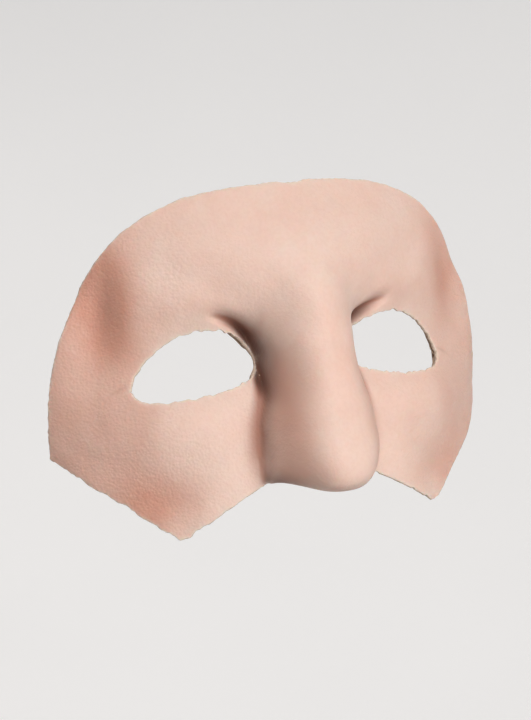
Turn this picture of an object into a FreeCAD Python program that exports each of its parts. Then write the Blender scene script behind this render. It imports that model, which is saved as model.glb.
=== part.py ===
import FreeCAD, Part
import math
import os

import Sketcher
from FreeCAD import Placement, Rotation, Vector

# Half-face stage mask of moulded leather, with a lining, pads and two strap rings.
#
# All lengths are in millimetres and all angles in degrees. The wearer looks along -Y,
# +Z is up and the wearer's left is +X. The form is worked out about a datum on the
# mid-plane, and every sub-part's Placement then moves it so that the origin lies in
# the middle of the brow pad's inner face, where the wearer's forehead rests.

SIZES = [
    # the head that the mask is moulded on: an oval section that slopes in profile
    ("head_half_width", 94.3, "radius across, at the datum height"),
    ("head_width_gain", 0.074, "growth of that radius for each millimetre of height"),
    ("head_depth", 102.5, "radius from front to back"),
    ("brow_height", 20.0, "height at which the profile stands furthest forward"),
    ("forehead_radius", 78.0, "radius of the profile above the brow"),
    ("cheek_slope", 0.10, "backward slope of the profile below the brow"),
    ("cheek_slope_start", 12.0, "height over which that slope sets in"),
    # the outline
    ("top_height", 42.5, "top edge at the mid-plane"),
    ("temple_corner_height", 19.5, "where the top edge meets the side edge"),
    ("top_edge_power", 3.4, "how square the top edge is"),
    ("temple_corner_angle", 38.8, "angle round the head at the temple corner"),
    ("jaw_corner_angle", 48.3, "angle round the head at the jaw corner"),
    ("side_edge_power", 1.65, "bow of the side edge"),
    ("jaw_corner_height", -27.0, "where the side edge meets the lower edge"),
    ("cheek_point_height", -54.6, "lowest point of each cheek"),
    ("cheek_point_across", 39.6, "its distance from the mid-plane"),
    ("cheek_point_rounding", 2.4, "half the length over which that point is rounded"),
    ("cheek_edge_power", 1.1, "bow of the edge from the nose to the cheek point"),
    ("lip_height", -41.7, "edge under the nose"),
    ("lip_half_width", 17.0, "half width of that edge"),
    # the eye openings
    ("eye_across", 33.0, "centre of an opening from the mid-plane"),
    ("eye_height", -6.0, "centre of an opening above the datum"),
    ("eye_half_length", 17.5, "half length of an opening"),
    ("eye_half_height", 9.0, "half height of an opening"),
    ("eye_tilt", 8.5, "how far the outer end is turned down"),
    ("eye_end_power", 2.1, "how pointed the ends are"),
    ("eye_fullness", 0.62, "how full the opening is"),
    ("eye_cut_angle", 20.0, "angle round the head of the knife's direction"),
    # the nose
    ("nose_start_height", 36.0, "where the ridge leaves the forehead"),
    ("nose_start_softness", 0.1, "how softly it leaves"),
    ("nose_tip_height", -30.0, "height of the tip"),
    ("nose_projection", 20.5, "ridge in front of the head at the tip"),
    ("nose_rise_power", 0.8, "bow of the ridge"),
    ("nose_root_half_width", 18.5, "half width between the brows"),
    ("nose_root_height", 10.0, "height of that width"),
    ("nose_waist_half_width", 13.9, "half width between the eyes"),
    ("nose_waist_height", -12.0, "height of that width"),
    ("nose_wing_half_width", 16.6, "half width at the wings"),
    ("nose_wing_height", -27.0, "height of that width"),
    ("nose_fan_half_width", 34.0, "widening into the forehead"),
    ("nose_fan_height", 30.0, "height over which it widens"),
    ("nose_roundness", 2.25, "power of the nose's cross section"),
    ("nose_wall_power", 0.72, "how steep its walls are"),
    ("nose_fold_softness", 0.12, "softness of the fold where the wall meets the cheek"),
    ("nose_root_power", 1.3, "how steep the ridge's flanks are on the forehead"),
    ("nose_blend_height", 18.0, "height over which nose turns into forehead"),
    ("nose_blend_start", -4.0, "lower end of that stretch"),
    ("tip_start_height", -28.0, "where the ridge turns into the tip"),
    ("tip_forward", 5.2, "how far the tip swells forward"),
    ("tip_drop", 12.3, "how far the tip reaches down before it turns"),
    ("tip_point", 2.7, "how much narrower the tip hangs than the nose is wide"),
    ("underside_forward", 21.0, "reach of the underside in front of the lip"),
    ("underside_drop", 9.0, "sag of the underside below the lip"),
    # hollows and swellings of the form: depth, centre and reach of each
    ("eye_hollow", 4.0, "depth of the hollow round the eye"),
    ("eye_hollow_length", 24.0, "its reach along the eye"),
    ("eye_hollow_height", 14.0, "its reach above and below"),
    ("eye_hollow_power", 1.3, "how flat its middle is"),
    ("corner_hollow", 5.5, "depth of the hollow beside the nose root"),
    ("corner_across", 17.5, "its centre from the mid-plane"),
    ("corner_height", -2.0, "its centre above the datum"),
    ("corner_reach_across", 5.8, "its reach across"),
    ("corner_reach_height", 8.5, "its reach in height"),
    ("brow_swell", 1.6, "height of the brow"),
    ("brow_swell_height", 11.5, "its middle above the datum"),
    ("brow_swell_reach", 5.5, "its reach in height"),
    ("brow_inner_end", 10.0, "where it begins from the mid-plane"),
    ("brow_outer_end", 46.0, "where it ends from the mid-plane"),
    ("brow_fade", 20.0, "length over which it fades outwards"),
    ("lid_groove", 2.6, "depth of the groove round the eye's inner corner"),
    ("lid_groove_length", 18.4, "from the eye's middle, along the eye"),
    ("lid_groove_height", 13.8, "from the eye's middle, upwards"),
    ("lid_groove_reach", 1.9, "reach to either side"),
    ("lid_groove_outer_end", 31.0, "where it ends from the mid-plane"),
    ("lid_groove_lower_end", -21.0, "where it ends above the datum"),
    ("lid_groove_fade", 11.0, "length over which it fades at both ends"),
    ("cheekbone_swell", 3.0, "height of the cheekbone"),
    ("cheekbone_across", 42.0, "its centre from the mid-plane"),
    ("cheekbone_height", -24.0, "its centre above the datum"),
    ("cheekbone_reach_across", 15.0, "its reach across"),
    ("cheekbone_reach_height", 11.0, "its reach in height"),
    ("temple_hollow", 2.6, "depth of the temple's hollow"),
    ("temple_across", 57.0, "its centre from the mid-plane"),
    ("temple_height", 12.0, "its centre above the datum"),
    ("temple_reach_across", 6.5, "its reach across"),
    ("temple_reach_height", 13.0, "its reach in height"),
    ("fold_hollow", 2.0, "depth of the hollow beside the wing"),
    ("fold_across", 21.0, "its centre from the mid-plane"),
    ("fold_height", -32.0, "its centre above the datum"),
    ("fold_reach_across", 6.0, "its reach across"),
    ("fold_reach_height", 14.0, "its reach in height"),
    ("side_flare", 1.8, "how far the side edge turns out"),
    ("side_flare_start", 0.82, "where it begins, as a share of the way to the side edge"),
    ("side_flare_upper", 0.25, "share of the height over which it sets in at the top"),
    ("side_flare_lower", 0.45, "share of the height over which it ends at the bottom"),
    ("lower_flare", 0.9, "how far the cheek's lower edge turns out"),
    ("lower_flare_start", 0.84, "where it begins, as a share of the height"),
    ("lower_flare_inner", 0.35, "its inner end, as a share of the way to the side edge"),
    ("lower_flare_fade", 0.12, "share over which it sets in and ends"),
    # the layers
    ("skin_thickness", 1.6, "moulded outer leather"),
    ("glue_line", 0.15, "gap that the glue fills between two layers"),
    ("lining_thickness", 0.8, "thin inner leather"),
    # the brow pad and the cheek pads
    ("brow_pad_length", 56.0, "across the forehead"),
    ("brow_pad_height", 15.0, "top to bottom"),
    ("brow_pad_thickness", 5.0, "foam and its cover"),
    ("brow_pad_drop", 15.5, "its middle below the top edge"),
    ("brow_pad_corner", 6.0, "corner radius"),
    ("cheek_pad_length", 20.0, "along the cheek"),
    ("cheek_pad_height", 12.0, "top to bottom"),
    ("cheek_pad_thickness", 4.0, "foam and its cover"),
    ("cheek_pad_offset", 4.0, "its middle from the eye opening's, outwards"),
    ("cheek_pad_drop", 24.0, "its middle below the eye opening's"),
    ("cheek_pad_corner", 5.0, "corner radius"),
    # the temple patches with their loops and rings
    ("patch_length", 15.5, "towards the side edge"),
    ("patch_height", 18.0, "top to bottom"),
    ("patch_thickness", 1.4, "leather"),
    ("patch_corner", 4.0, "corner radius"),
    ("patch_edge_gap", 3.6, "from its outer end to the side edge"),
    ("patch_drop", 7.0, "its middle below the eye opening's"),
    ("loop_strip_thickness", 1.1, "leather strip that is folded into the loop"),
    ("loop_strip_width", 8.6, "its width"),
    ("loop_tail", 8.5, "from the ring's bar to the strip's ends"),
    ("loop_taper", 3.0, "length over which the two layers close up"),
    ("loop_offset", 1.0, "ring's bar from the patch's middle, towards the side edge"),
    ("ring_wire_radius", 0.9, "steel wire"),
    ("ring_running_clearance", 0.05, "between the wire and the loop"),
    ("ring_inner_width", 10.0, "for a flat elastic of the same width"),
    ("ring_corner_radius", 1.4, "centre line of the wire at the bar's ends"),
    ("ring_side_length", 0.6, "straight side between corner and bow"),
    ("stitch_radius", 0.28, "waxed thread"),
    ("stitch_length", 1.3, "one stitch"),
    ("stitch_pitch", 1.65, "from one stitch to the next"),
    ("stitch_inset", 0.8, "from the strip's edges"),
    ("stitch_lift", 0.02, "thread above the leather"),
]

STITCHES_IN_A_ROW = 3
GRID_COLUMNS = 46      # on each side of the mid-plane
GRID_ROWS = 58
COLUMN_CROWDING = 1.3  # above 1, the columns crowd towards the nose
FINE_STEPS = 160       # steps used to space a column's points evenly
EYE_OUTLINE_POINTS = 40
EDGE_ROUNDING_STEPS = 6
WINDOW_STEPS = 12
WINDOW_MARGIN = 4.0    # how far a layer reaches past the block that trims it
NORMAL_STEP = 0.002    # step in u and v for the direction of the form's face
LOCATE_TURNS = 8       # turns that settle a point's u and v

os.makedirs("parts", exist_ok=True)
doc = FreeCAD.newDocument("HalfMask")
sheet = doc.addObject("Spreadsheet::Sheet", "Sizes")
for row, (name, value, note) in enumerate(SIZES, start=1):
    sheet.set("A%d" % row, name)
    sheet.set("B%d" % row, str(value))
    sheet.set("C%d" % row, note)
    sheet.setAlias("B%d" % row, name)
doc.recompute()
S = {name: float(sheet.get(name)) for name, value, note in SIZES}


# ---------------------------------------------------------------- the moulded form

def ease(t):
    """0 below 0, 1 above 1 and a smooth step between."""
    t = min(1.0, max(0.0, t))
    return t * t * (3 - 2 * t)


def bell(*offsets):
    """A smooth hump: 1 in the middle, falling to nothing over the reach."""
    return math.exp(-sum(c * c for c in offsets))


def profile(z):
    """How far the head's front lies behind the brow at one height."""
    rise = z - S["brow_height"]
    if rise > 0:
        return rise * rise / (2 * S["forehead_radius"])
    start = S["cheek_slope_start"]
    return S["cheek_slope"] * (math.hypot(start, rise) - start)


def radius_across(z):
    return S["head_half_width"] + S["head_width_gain"] * z


def top_edge(u):
    drop = S["top_height"] - S["temple_corner_height"]
    return S["top_height"] - drop * abs(u) ** S["top_edge_power"]


def share_across(across, height):
    """A distance from the mid-plane as a share of the way to the jaw corner."""
    angle = math.degrees(math.asin(across / radius_across(height)))
    return angle / S["jaw_corner_angle"]


def sharp_lower_edge(u):
    """Lower edge before the cheek point is rounded."""
    a = abs(u)
    lip = share_across(S["lip_half_width"], S["lip_height"])
    point = share_across(S["cheek_point_across"], S["cheek_point_height"])
    if a <= lip:
        return S["lip_height"]
    if a <= point:
        fall = ((a - lip) / (point - lip)) ** S["cheek_edge_power"]
        return S["lip_height"] + (S["cheek_point_height"] - S["lip_height"]) * fall
    rise = (a - point) / (1 - point)
    return S["cheek_point_height"] + (S["jaw_corner_height"] - S["cheek_point_height"]) * rise


def lower_edge(u):
    """Lower edge with its corners rounded by a weighted mean."""
    reach = share_across(S["cheek_point_rounding"], S["cheek_point_height"])
    total = weights = 0.0
    for step in range(-EDGE_ROUNDING_STEPS, EDGE_ROUNDING_STEPS + 1):
        weight = 1 - abs(step) / (EDGE_ROUNDING_STEPS + 1)
        total += weight * sharp_lower_edge(u + reach * step / EDGE_ROUNDING_STEPS)
        weights += weight
    return total / weights


def side_angle(v):
    """Angle round the head at which the side edge lies."""
    spread = S["jaw_corner_angle"] - S["temple_corner_angle"]
    return S["temple_corner_angle"] + spread * (1 - max(0.0, 1 - v) ** S["side_edge_power"])


def ridge(z):
    """The nose's ridge in front of the head."""
    t = (S["nose_start_height"] - z) / (S["nose_start_height"] - S["nose_tip_height"])
    soft = (t + math.hypot(t, S["nose_start_softness"])) / 2
    return S["nose_projection"] * soft ** S["nose_rise_power"]


def nose_half_width(z):
    root = ease((z - S["nose_waist_height"]) / (S["nose_root_height"] - S["nose_waist_height"]))
    wing = ease((S["nose_waist_height"] - z) / (S["nose_waist_height"] - S["nose_wing_height"]))
    fan_start = S["nose_root_height"] - S["nose_blend_height"] / 2
    fan = ease((z - fan_start) / S["nose_fan_height"])
    waist = S["nose_waist_half_width"]
    return (waist + (S["nose_root_half_width"] - waist) * root
            + (S["nose_wing_half_width"] - waist) * wing + S["nose_fan_half_width"] * fan)


def nose_section(r, z):
    """Share of the ridge's height at r half widths from the mid-plane."""
    t = 1 - r ** S["nose_roundness"]
    soft = (t + math.hypot(t, S["nose_fold_softness"])) / 2
    tube = soft ** S["nose_wall_power"]
    dome = (0.5 + 0.5 * math.cos(math.pi * min(1.0, r))) ** S["nose_root_power"]
    blend = ease((z - S["nose_blend_start"]) / S["nose_blend_height"])
    return tube * (1 - blend) + dome * blend


def nose(x, z, edge):
    """Forward and upward shift that the nose gives to a point of the head."""
    s = nose_section(abs(x) / nose_half_width(z), z)
    start = S["tip_start_height"]
    if z >= start:
        return ridge(z) * s, 0.0
    q = min(1.0, (start - z) / (start - edge))
    fall = start - edge
    height = ridge(start)
    hang = s ** S["tip_point"]
    forward = (height * s, (height + S["tip_forward"]) * s, S["underside_forward"] * s, 0.0)
    down = (0.0, S["tip_drop"] * hang + fall / 3 * (1 - s),
            fall + S["underside_drop"] * hang - fall / 3 * (1 - s), fall)
    weights = ((1 - q) ** 3, 3 * (1 - q) ** 2 * q, 3 * (1 - q) * q * q, q ** 3)
    ahead = sum(w * f for w, f in zip(weights, forward))
    below = sum(w * d for w, d in zip(weights, down))
    return ahead, start - below - z


def along_eye(x, z):
    """A point's place along and across the eye's own tilted axis."""
    tilt = math.radians(S["eye_tilt"])
    across, up = abs(x) - S["eye_across"], z - S["eye_height"]
    return (across * math.cos(tilt) - up * math.sin(tilt),
            across * math.sin(tilt) + up * math.cos(tilt))


def swelling(x, z, u, v):
    """How far the form swells out of the plain head (less than 0 in a hollow)."""
    a = abs(x)
    along, beside = along_eye(x, z)
    eye = math.hypot(along / S["eye_hollow_length"], beside / S["eye_hollow_height"])
    out = -S["eye_hollow"] * bell(eye ** S["eye_hollow_power"])
    out -= S["corner_hollow"] * bell((a - S["corner_across"]) / S["corner_reach_across"],
                                     (z - S["corner_height"]) / S["corner_reach_height"])
    out += (S["brow_swell"] * bell((z - S["brow_swell_height"]) / S["brow_swell_reach"])
            * ease((a - S["brow_inner_end"]) / S["brow_inner_end"])
            * ease((S["brow_outer_end"] - a) / S["brow_fade"]))
    bend = math.hypot((a - S["eye_across"]) / S["lid_groove_length"],
                      max(0.0, z - S["eye_height"]) / S["lid_groove_height"])
    apart = (bend - 1) * S["lid_groove_length"]
    out -= (S["lid_groove"] * bell(apart / S["lid_groove_reach"])
            * ease((S["lid_groove_outer_end"] - a) / S["lid_groove_fade"])
            * ease((z - S["lid_groove_lower_end"]) / S["lid_groove_fade"]))
    out += S["cheekbone_swell"] * bell(
        (a - S["cheekbone_across"]) / S["cheekbone_reach_across"],
        (z - S["cheekbone_height"]) / S["cheekbone_reach_height"])
    out -= S["temple_hollow"] * bell((a - S["temple_across"]) / S["temple_reach_across"],
                                     (z - S["temple_height"]) / S["temple_reach_height"])
    out -= S["fold_hollow"] * bell((a - S["fold_across"]) / S["fold_reach_across"],
                                   (z - S["fold_height"]) / S["fold_reach_height"])
    out += (S["side_flare"] * ease((abs(u) - S["side_flare_start"]) / (1 - S["side_flare_start"]))
            * ease(v / S["side_flare_upper"]) * ease((1 - v) / S["side_flare_lower"]))
    out += (S["lower_flare"] * ease((v - S["lower_flare_start"]) / (1 - S["lower_flare_start"]))
            * ease((abs(u) - S["lower_flare_inner"]) / S["lower_flare_fade"])
            * ease((1 - abs(u)) / S["lower_flare_fade"]))
    return out


def form_point(u, v):
    """A point of the outer face: u from -1 to 1 across, v from 0 to 1 downwards."""
    upper, lower = top_edge(u), lower_edge(u)
    z = upper + (lower - upper) * v
    angle = math.radians(u * side_angle(v))
    across, depth = radius_across(z), S["head_depth"]
    x = across * math.sin(angle)
    y = profile(z) + depth * (1 - math.cos(angle))
    out_x, out_y = depth * math.sin(angle), -across * math.cos(angle)
    swell = swelling(x, z, u, v) / math.hypot(out_x, out_y)
    forward, lift = nose(x, z, lower)
    return Vector(x + out_x * swell, y + out_y * swell - forward, z + lift)


def form_normal(u, v):
    """The outward normal of the outer face."""
    v0, v1 = max(0.0, v - NORMAL_STEP), min(1.0, v + NORMAL_STEP)
    along = form_point(u + NORMAL_STEP, v) - form_point(u - NORMAL_STEP, v)
    down = form_point(u, v1) - form_point(u, v0)
    normal = down.cross(along)
    return normal.normalize()


def locate(x, z):
    """The u and v of the plain head's point at x and z."""
    angle = math.degrees(math.asin(x / radius_across(z)))
    u, v = 0.0, 0.5
    for turn in range(LOCATE_TURNS):
        u = angle / side_angle(v)
        v = (top_edge(u) - z) / (top_edge(u) - lower_edge(u))
    return u, v


def across_from_side(height, distance):
    """Distance from the mid-plane of a place this far round the head from the side edge."""
    side_v = (top_edge(1.0) - height) / (top_edge(1.0) - lower_edge(1.0))
    radius = radius_across(height)
    return radius * math.sin(math.radians(side_angle(side_v)) - distance / radius)


# ---------------------------------------------------------------- sheets and slabs

def column_places():
    """u of each column of the form's grid, crowded towards the nose."""
    half = [(k / GRID_COLUMNS) ** COLUMN_CROWDING for k in range(1, GRID_COLUMNS + 1)]
    return [-u for u in reversed(half)] + [0.0] + half


def even_rows(u):
    """v of each row of one column, spaced evenly along the column."""
    track = [form_point(u, k / FINE_STEPS) for k in range(FINE_STEPS + 1)]
    reach = [0.0]
    for a, b in zip(track, track[1:]):
        reach.append(reach[-1] + (b - a).Length)
    rows = []
    k = 0
    for row in range(GRID_ROWS + 1):
        target = reach[-1] * row / GRID_ROWS
        while k < FINE_STEPS - 1 and reach[k + 1] < target:
            k += 1
        rows.append((k + (target - reach[k]) / (reach[k + 1] - reach[k])) / FINE_STEPS)
    return rows


def slab(places, outer_depth, inner_depth):
    """Solid between two depths under the form's outer face, over a grid of (u, v)."""
    sheets = []
    for depth in (outer_depth, inner_depth):
        surface = Part.BSplineSurface()
        surface.interpolate([[point - normal * depth for point, normal in line]
                             for line in places])
        sheets.append(surface)
    sides = []
    for pick in ("first_u", "last_u", "first_v", "last_v"):
        edges = []
        for surface in sheets:
            u0, u1, v0, v1 = surface.bounds()
            curve = {"first_u": lambda: surface.uIso(u0), "last_u": lambda: surface.uIso(u1),
                     "first_v": lambda: surface.vIso(v0), "last_v": lambda: surface.vIso(v1)}[pick]()
            edges.append(curve.toShape())
        sides.append(Part.makeRuledSurface(edges[0], edges[1]))
    shell = Part.makeShell([surface.toShape() for surface in sheets] + sides)
    shell.sewShape()
    solid = Part.makeSolid(shell)
    if solid.Volume < 0:
        solid.reverse()
    return solid


def whole_form():
    """Points and normals of the whole form, column by column."""
    return [[(form_point(u, v), form_normal(u, v)) for v in even_rows(u)]
            for u in column_places()]


def window(across, height, length, tall):
    """Points and normals of a stretch of the form, a little larger than length by tall."""
    u0, v0 = locate(across, height)
    u1, v1 = u0 + NORMAL_STEP, v0 + NORMAL_STEP
    u_in_mm = NORMAL_STEP / (form_point(u1, v0) - form_point(u0, v0)).Length
    v_in_mm = NORMAL_STEP / (form_point(u0, v1) - form_point(u0, v0)).Length
    u_reach = (length / 2 + WINDOW_MARGIN) * u_in_mm
    v_reach = (tall / 2 + WINDOW_MARGIN) * v_in_mm
    lines = []
    for i in range(-WINDOW_STEPS, WINDOW_STEPS + 1):
        u = u0 + u_reach * i / WINDOW_STEPS
        line = []
        for j in range(-WINDOW_STEPS, WINDOW_STEPS + 1):
            v = v0 + v_reach * j / WINDOW_STEPS
            line.append((form_point(u, v), form_normal(u, v)))
        lines.append(line)
    return lines


def feature(name, shape):
    made = doc.addObject("Part::Feature", name)
    made.Shape = shape
    return made


def boolean(kind, name, base, tool):
    made = doc.addObject(kind, name)
    made.Base = base
    made.Tool = tool
    return made


def mirrored(name, source):
    """The same piece on the wearer's other side."""
    made = doc.addObject("Part::Mirroring", name)
    made.Source = source
    made.Base = Vector(0, 0, 0)
    made.Normal = Vector(1, 0, 0)
    return made


def other_side(frame):
    """A frame's mirror image, for a piece that is the same above and below its X-Y plane."""
    def flipped(vector):
        return Vector(-vector.x, vector.y, vector.z)
    edgewards = flipped(frame.Rotation.multVec(Vector(1, 0, 0)))
    inwards = flipped(frame.Rotation.multVec(Vector(0, 1, 0)))
    return Placement(flipped(frame.Base),
                     Rotation(edgewards, inwards, edgewards.cross(inwards), "ZXY"))


def bind(made, **expressions):
    for prop, expression in expressions.items():
        made.setExpression(prop, expression)
    return made


def seat(across, height, depth):
    """Frame on the inside of the form: X to the side edge, Y inwards, Z upwards."""
    u, v = locate(across, height)
    inwards = form_normal(u, v) * -1
    upwards = Vector(0, 0, 1) - inwards * inwards.z
    upwards.normalize()
    edgewards = inwards.cross(upwards)
    origin = form_point(u, v) + inwards * depth
    return Placement(origin, Rotation(edgewards, inwards, upwards, "ZXY"))


lining_depth = S["skin_thickness"] + S["glue_line"]
inside_depth = lining_depth + S["lining_thickness"] + S["glue_line"]
brow_rise = S["top_height"] - S["brow_pad_drop"]
brow_rest = seat(0.0, brow_rise, inside_depth + S["brow_pad_thickness"])
to_rest = Placement(brow_rest.Base * -1, Rotation())

# ---------------------------------------------------------------- skin and lining


def eye_outline():
    """Points of one eye opening on the plain head, as x and z."""
    tilt = math.radians(S["eye_tilt"])
    points = []
    for k in range(EYE_OUTLINE_POINTS):
        turn = 2 * math.pi * k / EYE_OUTLINE_POINTS
        share = math.cos(turn)
        along = S["eye_half_length"] * share
        full = max(0.0, 1 - abs(share) ** S["eye_end_power"]) ** S["eye_fullness"]
        beside = math.copysign(S["eye_half_height"] * full, math.sin(turn))
        points.append((S["eye_across"] + along * math.cos(tilt) + beside * math.sin(tilt),
                       S["eye_height"] - along * math.sin(tilt) + beside * math.cos(tilt)))
    return points


def eye_knife():
    """Prism that cuts one eye opening, square to the form at the eye."""
    turn = math.radians(S["eye_cut_angle"])
    inwards = Vector(-math.sin(turn), math.cos(turn), 0)
    places = [form_point(*locate(x, z)) for x, z in eye_outline()]
    middle = sum(places, Vector()) * (1 / len(places))
    reach = S["head_depth"] / 3
    flat = [p - inwards * (inwards.dot(p - middle) + reach) for p in places]
    curve = Part.BSplineCurve()
    curve.interpolate(flat, PeriodicFlag=True)
    return Part.Face(Part.Wire(curve.toShape())).extrude(inwards * (2 * reach))


form = whole_form()
knife_left = feature("eye_knife_left", eye_knife())
knives = doc.addObject("Part::MultiFuse", "eye_knives")
knives.Shapes = [knife_left, mirrored("eye_knife_right", knife_left)]

skin_blank = feature("skin_blank", slab(form, 0.0, S["skin_thickness"]))
lining_blank = feature("lining_blank",
                       slab(form, lining_depth, lining_depth + S["lining_thickness"]))
face_skin = boolean("Part::Cut", "face_skin", skin_blank, knives)
face_lining = boolean("Part::Cut", "face_lining", lining_blank, knives)
for piece in (face_skin, face_lining):
    piece.Placement = to_rest

# ---------------------------------------------------------------- pads and patches


def rounded_block(name, length, depth, height, corner, lift, frame):
    """Box with rounded upright corners, centred on the frame, its face at Y = lift.

    length, depth, height, corner and lift are expressions on the sheet.
    """
    box = doc.addObject("Part::Box", name + "_box")
    bind(box, Length=length, Width=depth, Height=height)
    local = {".Placement.Base.x": "-(%s) / 2" % length,
             ".Placement.Base.y": "(%s) - (%s)" % (lift, depth),
             ".Placement.Base.z": "-(%s) / 2" % height}
    bind(box, **local)
    doc.recompute()
    edges = [k + 1 for k, edge in enumerate(box.Shape.Edges)
             if abs(edge.tangentAt(edge.FirstParameter).y) > 0.99]
    block = doc.addObject("Part::Fillet", name + "_block")
    block.Base = box
    radius = S[corner]
    block.Edges = [(edge, radius, radius) for edge in edges]
    block.Placement = frame
    return block


def laid_in(name, window_grid, thickness, block):
    """Layer of one thickness on the lining's inside, trimmed to the block's outline."""
    layer = feature(name + "_layer", slab(window_grid, inside_depth, inside_depth + thickness))
    piece = boolean("Part::Common", name, layer, block)
    piece.Placement = to_rest
    return piece


brow_block = rounded_block("brow", "Sizes.brow_pad_length", "Sizes.head_depth",
                           "Sizes.brow_pad_height", "brow_pad_corner",
                           "Sizes.head_depth / 2", brow_rest)
brow_pad = laid_in("brow_pad",
                   window(0.0, brow_rise, S["brow_pad_length"], S["brow_pad_height"]),
                   S["brow_pad_thickness"], brow_block)

cheek_across = S["eye_across"] + S["cheek_pad_offset"]
cheek_rise = S["eye_height"] - S["cheek_pad_drop"]
cheek_seat = seat(cheek_across, cheek_rise, inside_depth)
cheek_block = rounded_block("cheek", "Sizes.cheek_pad_length",
                            "4 * Sizes.cheek_pad_thickness", "Sizes.cheek_pad_height",
                            "cheek_pad_corner", "2 * Sizes.cheek_pad_thickness", cheek_seat)
cheek_pad = laid_in("cheek_pad_left",
                    window(cheek_across, cheek_rise,
                           S["cheek_pad_length"], S["cheek_pad_height"]),
                    S["cheek_pad_thickness"], cheek_block)

# the patch lies on the lining's curve, and its inner face is flat for the loop
patch_rise = S["eye_height"] - S["patch_drop"]
patch_across = across_from_side(patch_rise, S["patch_edge_gap"] + S["patch_length"] / 2)
patch_seat = seat(patch_across, patch_rise, inside_depth)
patch_block = rounded_block("temple", "Sizes.patch_length",
                            "4 * Sizes.patch_thickness", "Sizes.patch_height",
                            "patch_corner", "Sizes.patch_thickness", patch_seat)
patch = laid_in("temple_patch_left",
                window(patch_across, patch_rise, S["patch_length"], S["patch_height"]),
                3 * S["patch_thickness"], patch_block)

# ---------------------------------------------------------------- loop, stitches, ring

loop_radius = S["ring_wire_radius"] + S["ring_running_clearance"] + S["loop_strip_thickness"]
loop_seat = to_rest.multiply(patch_seat).multiply(
    Placement(Vector(S["loop_offset"], S["patch_thickness"], 0), Rotation()))
ring_seat = loop_seat.multiply(Placement(Vector(0, loop_radius, 0), Rotation()))


def strip_loop(name, frame):
    """Leather strip folded round the ring's bar, its two layers closed behind the bar."""
    body = doc.addObject("PartDesign::Body", name)
    plane = [f for f in body.Origin.OriginFeatures if f.Role == "XY_Plane"][0]
    sketch = body.newObject("Sketcher::SketchObject", name + "_section")
    sketch.AttachmentSupport = (plane, [""])
    sketch.MapMode = "FlatFace"
    tail, taper, layers = S["loop_tail"], S["loop_taper"], 2 * S["loop_strip_thickness"]
    corners = [Vector(-tail, 0, 0), Vector(0, 0, 0), Vector(0, 2 * loop_radius, 0),
               Vector(-taper, layers, 0), Vector(-tail, layers, 0)]
    upright = Vector(0, 0, 1)
    centre = Vector(0, loop_radius, 0)
    bottom = sketch.addGeometry(Part.LineSegment(corners[0], corners[1]))
    fold = sketch.addGeometry(Part.ArcOfCircle(Part.Circle(centre, upright, loop_radius),
                                               -math.pi / 2, math.pi / 2))
    slope = sketch.addGeometry(Part.LineSegment(corners[2], corners[3]))
    top = sketch.addGeometry(Part.LineSegment(corners[3], corners[4]))
    end = sketch.addGeometry(Part.LineSegment(corners[4], corners[0]))
    bore = sketch.addGeometry(Part.Circle(centre, upright, S["ring_wire_radius"]))
    rules = [("Coincident", bottom, 2, fold, 1), ("Coincident", fold, 2, slope, 1),
             ("Coincident", slope, 2, top, 1), ("Coincident", top, 2, end, 1),
             ("Coincident", end, 2, bottom, 1), ("Horizontal", bottom), ("Horizontal", top),
             ("Vertical", end), ("Coincident", fold, 3, bore, 3),
             ("Coincident", bottom, 2, -1, 1), ("PointOnObject", fold, 3, -2),
             ("PointOnObject", fold, 2, -2)]
    for rule in rules:
        sketch.addConstraint(Sketcher.Constraint(*rule))
    wire = "Sizes.ring_wire_radius + Sizes.ring_running_clearance"
    driving = [("tail", ("DistanceX", bottom, 1, bottom, 2, tail), "Sizes.loop_tail"),
               ("taper", ("DistanceX", slope, 2, slope, 1, taper), "Sizes.loop_taper"),
               ("layers", ("DistanceY", end, 2, end, 1, layers),
                "2 * Sizes.loop_strip_thickness"),
               ("fold", ("Radius", fold, loop_radius),
                wire + " + Sizes.loop_strip_thickness"),
               ("bore", ("Radius", bore, loop_radius - S["loop_strip_thickness"]), wire)]
    for label, rule, expression in driving:
        index = sketch.addConstraint(Sketcher.Constraint(*rule))
        sketch.renameConstraint(index, label)
        sketch.setExpression("Constraints." + label, expression)
    pad = body.newObject("PartDesign::Pad", name + "_pad")
    pad.Profile = sketch
    pad.SideType = "Symmetric"
    bind(pad, Length="Sizes.loop_strip_width")
    body.Placement = frame
    return body


def stitch_rows(name, frame):
    """Two rows of stitches along the strip's upper layer, as separate solids."""
    stitches = []
    level = "2 * Sizes.loop_strip_thickness + Sizes.stitch_radius + Sizes.stitch_lift"
    for side in (-1, 1):
        for k in range(STITCHES_IN_A_ROW):
            stitch = doc.addObject("Part::Cylinder", "%s_%d" % (name, len(stitches) + 1))
            bind(stitch, Radius="Sizes.stitch_radius", Height="Sizes.stitch_length")
            stitch.Placement = Placement(Vector(), Rotation(Vector(0, 1, 0), 90))
            place = {".Placement.Base.x": "-Sizes.loop_tail + Sizes.stitch_inset"
                                          " + %d * Sizes.stitch_pitch" % k,
                     ".Placement.Base.y": level,
                     ".Placement.Base.z": "%d * (Sizes.loop_strip_width / 2"
                                          " - Sizes.stitch_inset)" % side}
            bind(stitch, **place)
            stitches.append(stitch)
    group = doc.addObject("Part::Compound", name)
    group.Links = stitches
    group.Placement = frame
    return group


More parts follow.
